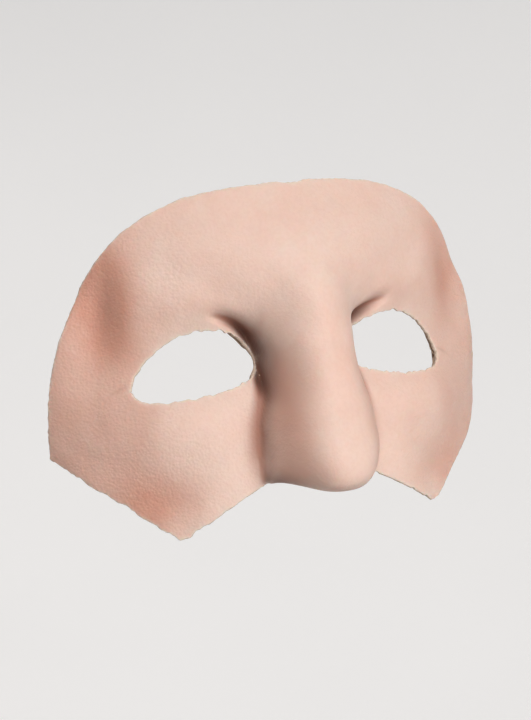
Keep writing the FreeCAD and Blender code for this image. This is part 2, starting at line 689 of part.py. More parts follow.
def d_ring(name, frame):
    """Steel D-ring: a straight bar on Z, two rounded corners, two sides and a bow."""
    wire = "Sizes.ring_wire_radius"
    half = "(Sizes.ring_inner_width / 2 + Sizes.ring_wire_radius)"
    corner = "Sizes.ring_corner_radius"
    side = "Sizes.ring_side_length"
    pieces = []

    def placed(piece, x, z, rotation):
        piece.Placement = Placement(Vector(), rotation)
        bind(piece, **{".Placement.Base.x": x, ".Placement.Base.z": z})
        pieces.append(piece)

    bar = doc.addObject("Part::Cylinder", name + "_bar")
    bind(bar, Radius=wire, Height="2 * (%s - %s)" % (half, corner))
    placed(bar, "0", "-(%s - %s)" % (half, corner), Rotation())
    for sign, label in ((1, "upper"), (-1, "lower")):
        bend = doc.addObject("Part::Torus", "%s_%s_corner" % (name, label))
        bind(bend, Radius1=corner, Radius2=wire)
        bend.Angle3 = 90
        spin = Rotation(Vector(1, 0, 0), 90)
        start = Rotation(Vector(0, 1, 0), 180 if sign < 0 else -90)
        placed(bend, corner, "%d * (%s - %s)" % (sign, half, corner), start.multiply(spin))
        straight = doc.addObject("Part::Cylinder", "%s_%s_side" % (name, label))
        bind(straight, Radius=wire, Height=side)
        placed(straight, corner, "%d * %s" % (sign, half), Rotation(Vector(0, 1, 0), 90))
    bow = doc.addObject("Part::Torus", name + "_bow")
    bind(bow, Radius1=half, Radius2=wire)
    bow.Angle3 = 180
    placed(bow, "%s + %s" % (corner, side), "0",
           Rotation(Vector(0, 1, 0), 90).multiply(Rotation(Vector(1, 0, 0), 90)))
    ring = doc.addObject("Part::MultiFuse", name)
    ring.Shapes = pieces
    ring.Placement = frame
    return ring


# ---------------------------------------------------------------- sub-parts

parts = [face_skin, face_lining, brow_pad,
         cheek_pad, mirrored("cheek_pad_right", cheek_pad),
         patch, mirrored("temple_patch_right", patch)]
for make, name, frame in ((strip_loop, "ring_loop", loop_seat),
                          (stitch_rows, "loop_stitches", loop_seat),
                          (d_ring, "strap_ring", ring_seat)):
    parts.append(make(name + "_left", frame))
    parts.append(make(name + "_right", other_side(frame)))
doc.recompute()

for made in doc.Objects:
    if "Invalid" in made.State or "Error" in made.State:
        raise RuntimeError("%s could not be built: %s" % (made.Label, made.State))
for part in parts:
    if part.Shape.isNull() or not part.Shape.isValid() or not part.Shape.Solids:
        raise RuntimeError("%s is not a valid solid" % part.Label)
for part in parts:
    part.Shape.exportStep(os.path.join("parts", part.Label + ".step"))
    box = part.Shape.BoundBox
    print("%-22s %d solid(s) %9.1f mm3  x %6.1f..%6.1f  y %6.1f..%6.1f  z %6.1f..%6.1f" % (
        part.Label, len(part.Shape.Solids), part.Shape.Volume,
        box.XMin, box.XMax, box.YMin, box.YMax, box.ZMin, box.ZMax))
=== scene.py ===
"""Looks of the half-face mask: moulded leather skin, suede lining, pads, patches and rings."""

import math
from types import SimpleNamespace

import bmesh
import bpy
import numpy as np
from mathutils import Matrix, Vector


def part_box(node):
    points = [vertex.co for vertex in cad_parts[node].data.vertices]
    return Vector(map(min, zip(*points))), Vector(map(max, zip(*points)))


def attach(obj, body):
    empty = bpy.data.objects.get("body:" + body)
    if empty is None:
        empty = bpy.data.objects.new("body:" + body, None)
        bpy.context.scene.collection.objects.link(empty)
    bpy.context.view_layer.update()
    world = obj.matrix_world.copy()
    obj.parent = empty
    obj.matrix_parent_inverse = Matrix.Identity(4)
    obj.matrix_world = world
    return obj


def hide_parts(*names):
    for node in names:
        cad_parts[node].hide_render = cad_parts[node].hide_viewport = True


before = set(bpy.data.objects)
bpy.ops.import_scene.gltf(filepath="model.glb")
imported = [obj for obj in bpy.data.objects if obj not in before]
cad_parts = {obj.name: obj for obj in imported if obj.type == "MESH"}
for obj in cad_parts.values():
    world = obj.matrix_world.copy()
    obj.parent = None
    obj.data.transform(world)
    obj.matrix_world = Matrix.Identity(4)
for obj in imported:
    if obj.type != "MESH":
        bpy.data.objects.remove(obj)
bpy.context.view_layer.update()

MM = 0.001

# The moulded form, in millimetres about its own datum. The sizes are the CAD sheet's, apart
# from the nose, which is a little lower and blunter here.
S = SimpleNamespace(
    head_half_width=94.3, head_width_gain=0.074, head_depth=102.5, brow_height=20.0,
    forehead_radius=78.0, cheek_slope=0.10, cheek_slope_start=12.0,
    top_height=42.5, temple_corner_height=19.5, top_edge_power=3.4,
    temple_corner_angle=38.8, jaw_corner_angle=48.3, side_edge_power=1.65,
    jaw_corner_height=-27.0, cheek_point_height=-54.6, cheek_point_across=39.6,
    cheek_point_rounding=2.4, cheek_edge_power=1.1, lip_height=-41.7, lip_half_width=17.0,
    eye_across=33.0, eye_height=-6.0, eye_half_length=17.5, eye_half_height=9.0,
    eye_tilt=8.5, eye_end_power=2.1, eye_fullness=0.62,
    nose_start_height=36.0, nose_start_softness=0.1, nose_tip_height=-30.0,
    nose_projection=20.0, nose_rise_power=0.7,
    nose_root_half_width=18.5, nose_root_height=10.0, nose_waist_half_width=13.9,
    nose_waist_height=-12.0, nose_wing_half_width=16.6, nose_wing_height=-27.0,
    nose_fan_half_width=34.0, nose_fan_height=30.0, nose_roundness=2.6, nose_wall_power=0.72,
    nose_fold_softness=0.06, nose_root_power=1.3, nose_blend_height=18.0,
    nose_blend_start=-4.0, tip_start_height=-28.0, tip_forward=4.6, tip_drop=15.5,
    tip_point=3.0, underside_forward=21.0, underside_drop=8.4,
    eye_hollow=4.0, eye_hollow_length=24.0, eye_hollow_height=14.0, eye_hollow_power=1.3,
    corner_hollow=5.5, corner_across=17.5, corner_height=-2.0, corner_reach_across=5.8,
    corner_reach_height=8.5, brow_swell=1.6, brow_swell_height=11.5, brow_swell_reach=5.5,
    brow_inner_end=10.0, brow_outer_end=46.0, brow_fade=20.0,
    lid_groove=2.6, lid_groove_length=18.4, lid_groove_height=13.8, lid_groove_reach=1.9,
    lid_groove_outer_end=31.0, lid_groove_lower_end=-21.0, lid_groove_fade=11.0,
    cheekbone_swell=3.0, cheekbone_across=42.0, cheekbone_height=-24.0,
    cheekbone_reach_across=15.0, cheekbone_reach_height=11.0,
    temple_hollow=2.6, temple_across=57.0, temple_height=12.0, temple_reach_across=6.5,
    temple_reach_height=13.0, fold_hollow=2.0, fold_across=21.0, fold_height=-32.0,
    fold_reach_across=6.0, fold_reach_height=14.0,
    side_flare=1.8, side_flare_start=0.82, side_flare_upper=0.25, side_flare_lower=0.45,
    lower_flare=0.9, lower_flare_start=0.84, lower_flare_inner=0.35, lower_flare_fade=0.12,
    skin_thickness=1.6, glue_line=0.15, lining_thickness=0.8,
    brow_pad_length=56.0, brow_pad_height=15.0, brow_pad_thickness=5.0, brow_pad_drop=15.5,
    cheek_pad_length=20.0, cheek_pad_height=12.0, cheek_pad_thickness=4.0,
    cheek_pad_offset=4.0, cheek_pad_drop=24.0,
    patch_length=15.5, patch_height=18.0, patch_thickness=1.4, patch_corner=4.0,
    patch_across=60.0239, patch_drop=7.0,
    loop_strip_thickness=1.1, loop_strip_width=8.6, loop_tail=8.5, loop_wrap=0.65,
    loop_offset=1.0, ring_wire_radius=0.9, ring_running_clearance=0.05,
    ring_inner_width=10.0, ring_corner=1.4, ring_side=0.6,
    stitch_radius=0.28, stitch_length=1.3, stitch_pitch=1.65, stitch_inset=0.8,
)
# Folds and dents left by the hand that formed the leather, only in the scene.
H = SimpleNamespace(
    lid_depth=1.5, lid_reach=1.7, lid_outer_end=30.0, lid_outer_fade=10.0,
    lid_lower_end=-19.0, lid_lower_fade=8.0,
    crow_depth=0.35, crow_drop=0.6, crow_slope=0.25, crow_turn=18.0, crow_along=20.5,
    crow_reach=3.0,
    temple_depth=1.3, temple_other_side=-0.9, temple_across=56.5, temple_reach_across=5.0,
    temple_height=12.0, temple_reach_height=15.0,
    jowl_depth=0.9, jowl_across=44.0, jowl_reach_across=10.0, jowl_height=-43.5,
    jowl_reach_height=5.0,
    wing_depth=3.2, wing_start=-34.5, wing_fade=7.0, wing_across=12.0, wing_reach=5.5,
)
# Painted shade in the leather's colour: redder where the form turns away from the light, dark in
# the folds.
W = SimpleNamespace(
    temple=0.95, temple_across=54.5, temple_reach_across=6.0, temple_height=14.0,
    temple_reach_height=14.0,
    jowl=0.75, jowl_across=45.0, jowl_reach_across=11.0, jowl_height=-43.0,
    jowl_reach_height=8.0,
    side=0.50, side_start=36.0, side_fade=16.0, other_side=0.6,
    nose=0.65, nose_across=12.5, nose_reach=3.8, nose_start=-1.0, nose_fade=8.0,
    brow=0.12, brow_height=10.0, brow_reach=6.0, brow_start=16.0, brow_fade=10.0,
    uneven=0.12,
    lid=1.05, lid_inset=0.5, lid_reach=1.9, lid_outer_end=29.0, lid_outer_fade=11.0,
    lid_lower_end=-21.0, lid_lower_fade=9.0,
    wall=0.35, wall_inset=0.2, wall_reach=0.8, wall_top=-12.0, wall_fade=8.0,
    wing=0.85, wing_start=-35.5, wing_fade=6.0, wing_across=13.0, wing_reach=4.5,
)
COLUMNS, ROWS = ((360, 270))
INNER_CORNER_DROP, OUTER_CORNER_DROP, INNER_CORNER_FULLNESS = 2.5, 2.6, 0.40
# Thickness of the leather: smoothed back faces, thinned edges and folds, rounded cuts.
INNER_SMOOTHING, SMOOTHING_FADE = 0.016, 1.4
SKIVE_SHARE, SKIVE_REACH, FOLD_SHARE = 0.5, 2.6, 0.6
LEAST_SHARE, LEAST_THICKNESS = 0.85, 0.7
CUT_LEVELS = ((0.18, 0.13), (0.5, 0.20), (0.82, 0.12))
RIM_FADE = 3.5
PAD_COUNTS, PATCH_COUNTS = (60, 20), (30, 30)
PAD_SIDES, PUFF_SCALE, PUFF_CAP, PUFF_FRAMES = 2 * sum(PAD_COUNTS), 0.02, 0.16, 20
FLANGE, FLANGE_THICKNESS, SEAM_INSET, SINK = 1.6, 0.9, 0.8, 0.05
# The patch's face, from the middle outwards: how far in each ring lies, and how deep.
PATCH_INSETS = (7.0, 5.0, 3.0, 1.9, 1.2, 0.85, 0.35, 0.12, 0.0, -0.02)
PATCH_DROPS = (0, 0, 0, 0, -0.10, 0, -0.03, -0.14, -0.34, -0.7)
PATCH_GROOVE, THREAD_SINK = 4, 0.06
LOOP_ROUNDING, LOOP_JOIN, LOOP_FIT = 0.32, 0.35, 0.985
LOOP_SKIVE, LOOP_SKIVE_REACH = 0.7, 2.6
RING_SIDES, BAR_STEPS, CORNER_STEPS, BOW_STEPS = 20, 24, 10, 60
LINING_DEPTH = S.skin_thickness + S.glue_line
INSIDE_DEPTH = LINING_DEPTH + S.lining_thickness + S.glue_line


# ---------------------------------------------------------------- noise and small maths

def ease(t):
    t = np.clip(t, 0.0, 1.0)
    return t * t * (3 - 2 * t)


def bell(*offsets):
    return np.exp(-sum(c * c for c in offsets))


def beyond(value, start, over):
    """0 up to start, 1 from start + over on."""
    return ease((value - start) / over)


def until(value, end, over):
    """1 up to end - over, 0 from end on."""
    return ease((end - value) / over)


def spot(sizes, name, a, z):
    """Round hollow or swelling: 1 at its centre, fading over its reach across and in height."""
    size = vars(sizes)
    return bell((a - size[name + "_across"]) / size[name + "_reach_across"],
                (z - size[name + "_height"]) / size[name + "_reach_height"])


def lattice(i, j, k, seed):
    mix = (i * 73856093) ^ (j * 19349663) ^ (k * 83492791) ^ (seed * 2654435761)
    mix = (mix ^ (mix >> 13)) * 1274126177
    return ((mix ^ (mix >> 16)) & 0xFFFFFF) / float(0xFFFFFF)


def value_noise(points, cell, seed):
    """Smooth noise from -1 to 1 over points in millimetres."""
    q = np.asarray(points) / cell
    base = np.floor(q).astype(np.int64)
    f = q - base
    f = f * f * (3 - 2 * f)
    total = 0
    for di in (0, 1):
        for dj in (0, 1):
            for dk in (0, 1):
                weight = (np.abs(1 - di - f[..., 0]) * np.abs(1 - dj - f[..., 1])
                          * np.abs(1 - dk - f[..., 2]))
                total = total + weight * lattice(base[..., 0] + di, base[..., 1] + dj,
                                                 base[..., 2] + dk, seed)
    return 2 * total - 1


def layered_noise(points, cell, seed, octaves=3):
    return sum(value_noise(points, cell / 2 ** k, seed + k) / 2 ** k for k in range(octaves))


# ---------------------------------------------------------------- the moulded form

def profile(z):
    rise = z - S.brow_height
    start = S.cheek_slope_start
    return np.where(rise > 0, rise * rise / (2 * S.forehead_radius),
                    S.cheek_slope * (np.hypot(start, rise) - start))


def radius_across(z):
    return S.head_half_width + S.head_width_gain * z


def top_edge(u):
    drop = S.top_height - S.temple_corner_height
    return S.top_height - drop * np.abs(u) ** S.top_edge_power


def share_across(across, height):
    return math.degrees(math.asin(across / radius_across(height))) / S.jaw_corner_angle


def sharp_lower_edge(u):
    a = np.abs(u)
    lip = share_across(S.lip_half_width, S.lip_height)
    point = share_across(S.cheek_point_across, S.cheek_point_height)
    fall = np.clip((a - lip) / (point - lip), 0, 1) ** S.cheek_edge_power
    inner = S.lip_height + (S.cheek_point_height - S.lip_height) * fall
    rise = (a - point) / (1 - point)
    outer = S.cheek_point_height + (S.jaw_corner_height - S.cheek_point_height) * rise
    return np.where(a <= point, inner, outer)


def lower_edge(u):
    reach = share_across(S.cheek_point_rounding, S.cheek_point_height)
    steps = range(-6, 7)
    weights = [1 - abs(step) / 7 for step in steps]
    total = sum(w * sharp_lower_edge(u + reach * step / 6) for w, step in zip(weights, steps))
    return total / sum(weights)


def side_angle(v):
    spread = S.jaw_corner_angle - S.temple_corner_angle
    return S.temple_corner_angle + spread * (1 - np.maximum(0, 1 - v) ** S.side_edge_power)


def ridge(z):
    t = (S.nose_start_height - z) / (S.nose_start_height - S.nose_tip_height)
    t = (t + np.hypot(t, S.nose_start_softness)) / 2
    return S.nose_projection * t ** S.nose_rise_power


def nose_half_width(z):
    root = ease((z - S.nose_waist_height) / (S.nose_root_height - S.nose_waist_height))
    wing = ease((S.nose_waist_height - z) / (S.nose_waist_height - S.nose_wing_height))
    fan_start = S.nose_root_height - S.nose_blend_height / 2
    fan = ease((z - fan_start) / S.nose_fan_height)
    waist = S.nose_waist_half_width
    return (waist + (S.nose_root_half_width - waist) * root
            + (S.nose_wing_half_width - waist) * wing + S.nose_fan_half_width * fan)


def nose_section(r, z):
    t = 1 - r ** S.nose_roundness
    soft = (t + np.hypot(t, S.nose_fold_softness)) / 2
    tube = soft ** S.nose_wall_power
    dome = (0.5 + 0.5 * np.cos(math.pi * np.minimum(1.0, r))) ** S.nose_root_power
    blend = ease((z - S.nose_blend_start) / S.nose_blend_height)
    return tube * (1 - blend) + dome * blend


def nose(x, z, edge):
    s = nose_section(np.abs(x) / nose_half_width(z), z)
    start = S.tip_start_height
    q = np.clip((start - z) / (start - edge), 0, 1)
    fall = start - edge
    height = ridge(np.float64(start))
    hang = s ** S.tip_point
    forward = (height * s, (height + S.tip_forward) * s, S.underside_forward * s, 0 * s)
    down = (0 * s, S.tip_drop * hang + fall / 3 * (1 - s),
            fall + S.underside_drop * hang - fall / 3 * (1 - s), fall + 0 * s)
    weights = ((1 - q) ** 3, 3 * (1 - q) ** 2 * q, 3 * (1 - q) * q * q, q ** 3)
    ahead = sum(w * f for w, f in zip(weights, forward))
    below = sum(w * d for w, d in zip(weights, down))
    above = z >= start
    return np.where(above, ridge(z) * s, ahead), np.where(above, 0.0, start - below - z)


def along_eye(x, z):
    tilt = math.radians(S.eye_tilt)
    across, up = np.abs(x) - S.eye_across, z - S.eye_height
    return (across * math.cos(tilt) - up * math.sin(tilt),
            across * math.sin(tilt) + up * math.cos(tilt))


def lid_distance(x, z):
    """Millimetres outside the fold over the eye, less than 0 below it."""
    bend = np.hypot((np.abs(x) - S.eye_across) / S.lid_groove_length,
                    np.maximum(0, z - S.eye_height) / S.lid_groove_height)
    return (bend - 1) * S.lid_groove_length


def swelling(x, z, u, v):
    """Hollows and swellings of the plain form, outwards."""
    a, side = np.abs(x), np.abs(u)
    along, beside = along_eye(x, z)
    eye = np.hypot(along / S.eye_hollow_length, beside / S.eye_hollow_height)
    brow = (S.brow_swell * bell((z - S.brow_swell_height) / S.brow_swell_reach)
            * beyond(a, S.brow_inner_end, S.brow_inner_end)
            * until(a, S.brow_outer_end, S.brow_fade))
    groove = (S.lid_groove * bell(lid_distance(x, z) / S.lid_groove_reach)
              * until(a, S.lid_groove_outer_end, S.lid_groove_fade)
              * beyond(z, S.lid_groove_lower_end, S.lid_groove_fade))
    flare = (S.side_flare * beyond(side, S.side_flare_start, 1 - S.side_flare_start)
             * ease(v / S.side_flare_upper) * until(v, 1, S.side_flare_lower))
    low_flare = (S.lower_flare * beyond(v, S.lower_flare_start, 1 - S.lower_flare_start)
                 * beyond(side, S.lower_flare_inner, S.lower_flare_fade)
                 * until(side, 1, S.lower_flare_fade))
    return (-S.eye_hollow * bell(eye ** S.eye_hollow_power)
            - S.corner_hollow * spot(S, "corner", a, z) + brow - groove
            + S.cheekbone_swell * spot(S, "cheekbone", a, z)
            - S.temple_hollow * spot(S, "temple", a, z)
            - S.fold_hollow * spot(S, "fold", a, z) + flare + low_flare)


def hand_work(x, z):
    """Folds and dents of the wet forming that the plain form leaves out, outwards."""
    a = np.abs(x)
    along, beside = along_eye(x, z)
    lid = (bell(lid_distance(x, z) / H.lid_reach) * until(a, H.lid_outer_end, H.lid_outer_fade)
           * beyond(z, H.lid_lower_end, H.lid_lower_fade))
    crow = (bell(beside + H.crow_drop + H.crow_slope * (along - H.crow_turn))
            * bell((along - H.crow_along) / H.crow_reach))
    temple = spot(H, "temple", a, z) * np.where(x < 0, 1.0, H.temple_other_side)
    wing = until(z, H.wing_start, H.wing_fade) * bell((a - H.wing_across) / H.wing_reach)
    return -(H.lid_depth * lid + H.crow_depth * crow + H.temple_depth * temple
             + H.jowl_depth * spot(H, "jowl", a, z) + H.wing_depth * wing)


def form(u, v, dressed=True):
    """Outer face at u (-1 to 1 across) and v (0 to 1 down), with the plain head's x and z."""
    upper, lower = top_edge(u), lower_edge(u)
    z = upper + (lower - upper) * v
    angle = np.radians(u * side_angle(v))
    across, depth = radius_across(z), S.head_depth
    x = across * np.sin(angle)
    y = profile(z) + depth * (1 - np.cos(angle))
    out_x, out_y = depth * np.sin(angle), -across * np.cos(angle)
    swell = swelling(x, z, u, v)
    if dressed:
        swell = swell + hand_work(x, z)
    swell = swell / np.hypot(out_x, out_y)
    ahead, lift = nose(x, z, lower)
    return np.stack([x + out_x * swell, y + out_y * swell - ahead, z + lift], -1), x, z


def normals(u, v, dressed=True, step=0.002):
    along = form(u + step, v, dressed)[0] - form(u - step, v, dressed)[0]
    above = np.clip(v - step, 0, 1 - 2 * step)
    down = form(u, above + 2 * step, dressed)[0] - form(u, above, dressed)[0]
    n = np.cross(down, along)
    return n / np.linalg.norm(n, axis=-1, keepdims=True)


def even_grid(columns, rows, crowding=1.15, fine=400):
    """u and v of a grid whose rows lie evenly along each column."""
    t = np.linspace(-1, 1, columns + 1)
    us = np.sign(t) * np.abs(t) ** crowding
    fine_v = np.linspace(0, 1, fine + 1)
    u, v = np.meshgrid(us, fine_v, indexing="ij")
    points = form(u, v, False)[0]
    reach = np.concatenate([np.zeros((columns + 1, 1)),
                            np.cumsum(np.linalg.norm(np.diff(points, axis=1), axis=2), 1)], 1)
    vs = np.stack([np.interp(np.linspace(0, reach[k, -1], rows + 1), reach[k], fine_v)
                   for k in range(columns + 1)])
    return np.repeat(us[:, None], rows + 1, 1), vs


def eye_field(x, z):
    """Distance outside the eye opening, in millimetres, less than 0 in the opening."""
    along, beside = along_eye(x, z)
    inner = along < 0
    t = np.clip(np.abs(along / S.eye_half_length), 0, 1)
    beside = beside + np.where(inner, INNER_CORNER_DROP, OUTER_CORNER_DROP) * t * t
    fullness = np.where(inner, INNER_CORNER_FULLNESS, S.eye_fullness)
    full = S.eye_half_height * (1 - t ** S.eye_end_power) ** fullness
    past = np.abs(along) - S.eye_half_length
    return np.where(past >= 0, np.hypot(past, beside), np.abs(beside) - full)


def locate(x, z):
    """u and v of the plain head's point at x and z."""
    angle = math.degrees(math.asin(x / radius_across(z)))
    u, v = 0.0, 0.5
    for turn in range(8):
        u = angle / side_angle(v)
        v = (top_edge(u) - z) / (top_edge(u) - lower_edge(u))
    return float(u), float(v)


# The shift from the form's datum to the frame of the part, read from the CAD skin's box. The
# box begins at the tip of the CAD's nose, so all pieces lie 0.65 mm further forward than the
# solids.
grid_u, grid_v = even_grid(120, 120)
plain_outer = form(grid_u, grid_v, False)[0]
plain_inner = plain_outer - normals(grid_u, grid_v, False) * S.skin_thickness
skin_low, skin_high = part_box("face_skin")
SHIFT = np.array([0.0,
                  skin_low.y / MM - plain_outer[..., 1].min(),
                  skin_high.z / MM - max(plain_outer[..., 2].max(), plain_inner[..., 2].max())])


# ---------------------------------------------------------------- meshes

def add_object(name, data):
    made = bpy.data.objects.new(name, data)
    bpy.context.scene.collection.objects.link(made)
    return made


def make_object(name, verts, faces, materials, body="mask", replaced=(), slot=None,
                attributes=None, face_materials=None, sharp_angle=None):
    """Mesh object from points in millimetres in the part's frame."""
    mesh = bpy.data.meshes.new(name)
    mesh.from_pydata((np.asarray(verts) * MM).tolist(), [], [list(f) for f in faces])
    for material in materials:
        mesh.materials.append(material)
    if face_materials is not None:
        mesh.polygons.foreach_set("material_index", np.asarray(face_materials, np.int32))
    mesh.polygons.foreach_set("use_smooth", np.ones(len(mesh.polygons), bool))
    for label, values in (attributes or {}).items():
        layer = mesh.attributes.new(label, "FLOAT", "POINT")
        layer.data.foreach_set("value", np.asarray(values, np.float32))
    mesh.update()
    if sharp_angle is not None:
        mesh.set_sharp_from_angle(angle=math.radians(sharp_angle))
    made = add_object(name, mesh)
    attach(made, body)
    if replaced:
        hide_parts(*replaced)
    return made


def boundary_edges(faces):
    """Edges used by one face only, in that face's direction."""
    edges = []
    for size in (3, 4):
        some = np.array([f for f in faces if len(f) == size], np.int64).reshape(-1, size)
        for k in range(size):
            edges.append(np.stack([some[:, k], some[:, (k + 1) % size]], 1))
    edges = np.concatenate(edges)
    key = np.sort(edges, 1)
    code = key[:, 0] * (key.max() + 1) + key[:, 1]
    inverse, counts = np.unique(code, return_inverse=True, return_counts=True)[1:]
    return edges[counts[inverse] == 1]


def spans(u, v):
    """Millimetres to one step of u, round the head, and to one step of v, downwards."""
    return np.radians(side_angle(v)) * S.head_depth, top_edge(u) - lower_edge(u)


def ragged(u, v, amount, inset):
    """Move the rim in or out by hand-cut unevenness, fading away from the edge."""
    points, x, z = form(u, v, False)
    width, height = spans(u, v)
    where = np.stack([x, z, x * 0], -1)
    slow = layered_noise(where, 9.0, 11, 2) * 0.45
    quick = layered_noise(where, 2.6, 23, 3) * 0.34
    rough = amount * (slow + quick * (0.5 + 1.3 * ease((v - 0.45) / 0.4))) - inset
    side = np.exp(-(1 - np.abs(u)) * width / RIM_FADE)
    top = np.exp(-v * height / RIM_FADE)
    low = np.exp(-(1 - v) * height / RIM_FADE)
    return u * (1 + rough * side / width), v + rough * (low - top) / height


def shell(columns, rows, amount, inset, eye_noise):
    """u, v, faces and edge distance of the form's sheet with its eye openings cut out."""
    u, v = even_grid(columns, rows)
    step, snap, spare = 1e-4, 55.0 / rows, 0.05

    def field(u, v):
        points, x, z = form(u, v, False)
        where = np.stack([x, z, x * 0 + 40], -1)
        return (eye_field(x, z) - inset
                + eye_noise * (0.30 * layered_noise(where, 4.5, 31, 2)
                               + 0.42 * layered_noise(where, 1.7, 47, 2)))

    f = field(u, v)
    for turn in range(2):
        fu = (field(u + step, v) - field(u - step, v)) / (2 * step)
        fv = (field(u, v + step) - field(u, v - step)) / (2 * step)
        per_u, per_v = spans(u, v)
        gu, gv = fu / per_u, fv / per_v
        size = np.maximum(np.hypot(gu, gv), 1e-6)
        pull = f / size
        near = np.abs(pull) < snap
        u = np.where(near, u - pull * gu / size / per_u, u)
        v = np.where(near, v - pull * gv / size / per_v, v)
        f = field(u, v)
    keep = f > -spare
    index = np.arange(u.size).reshape(u.shape)
    quads = np.stack([index[:-1, :-1], index[:-1, 1:], index[1:, 1:], index[1:, :-1]],
                     -1).reshape(-1, 4)
    kept = keep.reshape(-1)[quads]
    faces = [tuple(q) for q in quads[kept.all(1)]]
    for q, k in zip(quads[kept.sum(1) == 3], kept[kept.sum(1) == 3]):
        faces.append(tuple(q[k]))
    width, height = spans(u, v)
    rim = np.minimum(np.minimum((1 - np.abs(u)) * width, v * height), (1 - v) * height)
    distance = np.minimum(np.abs(f), rim)
    u, v = ragged(u, v, amount, inset)
    return u, v, faces, distance


def blurred(grid, reach):
    """The grid's values averaged over a square of 2 * reach + 1 points."""
    out = grid
    for axis in (0, 1):
        pad = [(0, 0)] * grid.ndim
        pad[axis] = (reach, reach)
        wide = np.pad(out, pad, mode="edge")
        total = np.cumsum(wide, axis=axis)
        zero = np.zeros_like(np.take(total, [0], axis=axis))
        total = np.concatenate([zero, total], axis=axis)
        length = out.shape[axis]
        span = 2 * reach + 1
        out = (np.take(total, range(span, span + length), axis=axis)
               - np.take(total, range(length), axis=axis)) / span
    return out


def solid_sheet(u, v, faces, outer_depth, thickness, relief, fray, skived, thin):
    """Points, faces and face kinds of a sheet with a soft, uneven cut edge.

    Kinds: 0 outer face, 1 cut edge, 2 inner face.
    """
    points, n = form(u, v)[0], normals(u, v)
    reach = max(1, round(INNER_SMOOTHING * u.shape[1]))
    away = ease(skived / SMOOTHING_FADE)[..., None]
    back = (points + (blurred(points, reach) - points) * away).reshape(-1, 3)
    back_n = (n + (blurred(n, reach) - n) * away).reshape(-1, 3)
    points, n = points.reshape(-1, 3), n.reshape(-1, 3)
    skive = np.maximum(np.exp(-skived / SKIVE_REACH), FOLD_SHARE * thin)
    share = 1 - SKIVE_SHARE * skive.reshape(-1, 1)
    outer = points + n * np.reshape(relief, (-1, 1))
    inner = back - back_n * (outer_depth + thickness) * share
    least = outer_depth * LEAST_SHARE + thickness * LEAST_THICKNESS
    if outer_depth:
        outer = back - back_n * outer_depth * share
        lack = outer_depth * LEAST_SHARE - ((points - outer) * n).sum(-1)
        outer = outer - n * np.maximum(lack, 0)[:, None]
    lack = least - ((points - inner) * n).sum(-1)
    inner = inner - n * np.maximum(lack, 0)[:, None]
    used = np.unique(np.concatenate([np.asarray(f) for f in faces]))
    renumber = -np.ones(len(points), np.int64)
    renumber[used] = np.arange(len(used))
    outer, inner, n = outer[used], inner[used], n[used]
    faces = [tuple(renumber[list(f)]) for f in faces]
    count = len(used)
    edges = boundary_edges(faces)
    tangent = outer[edges[:, 1]] - outer[edges[:, 0]]
    side = np.cross(tangent, n[edges[:, 0]])
    side /= np.maximum(np.linalg.norm(side, axis=1, keepdims=True), 1e-9)
    outwards = np.zeros((count, 3))
    np.add.at(outwards, edges[:, 0], side)
    np.add.at(outwards, edges[:, 1], side)
    border = np.unique(edges)
    outwards /= np.maximum(np.linalg.norm(outwards, axis=1, keepdims=True), 1e-9)
    place = -np.ones(count, np.int64)
    place[border] = np.arange(len(border))
    rings = []
    for level, (share, bulge) in enumerate(CUT_LEVELS):
        base = outer[border] * (1 - share) + inner[border] * share
        fuzz = value_noise(base, 0.7, 61 + level) * fray
        rings.append(base + outwards[border] * (bulge + fuzz)[:, None])
    verts = np.concatenate([outer, inner] + rings)
    all_faces = list(faces) + [tuple(count + np.array(f[::-1])) for f in faces]
    kinds = [0] * len(faces) + [2] * len(faces)
    starts = [2 * count + k * len(border) for k in range(len(rings))]
    for a, b in edges:
        ladder_a = [a] + [start + place[a] for start in starts] + [count + a]
        ladder_b = [b] + [start + place[b] for start in starts] + [count + b]
        for k in range(len(ladder_a) - 1):
            all_faces.append((ladder_b[k], ladder_a[k], ladder_a[k + 1], ladder_b[k + 1]))
            kinds.append(1)
    return verts + SHIFT, all_faces, kinds, used, count, len(verts)


def spread(values, used, count, total, edge_value):
    """A per-point value of the outer face, carried to the inner face and the cut edge."""
    out = np.full(total, float(edge_value))
    out[:count] = values.reshape(-1)[used]
    out[count:2 * count] = values.reshape(-1)[used]
    return out


# ---------------------------------------------------------------- node materials

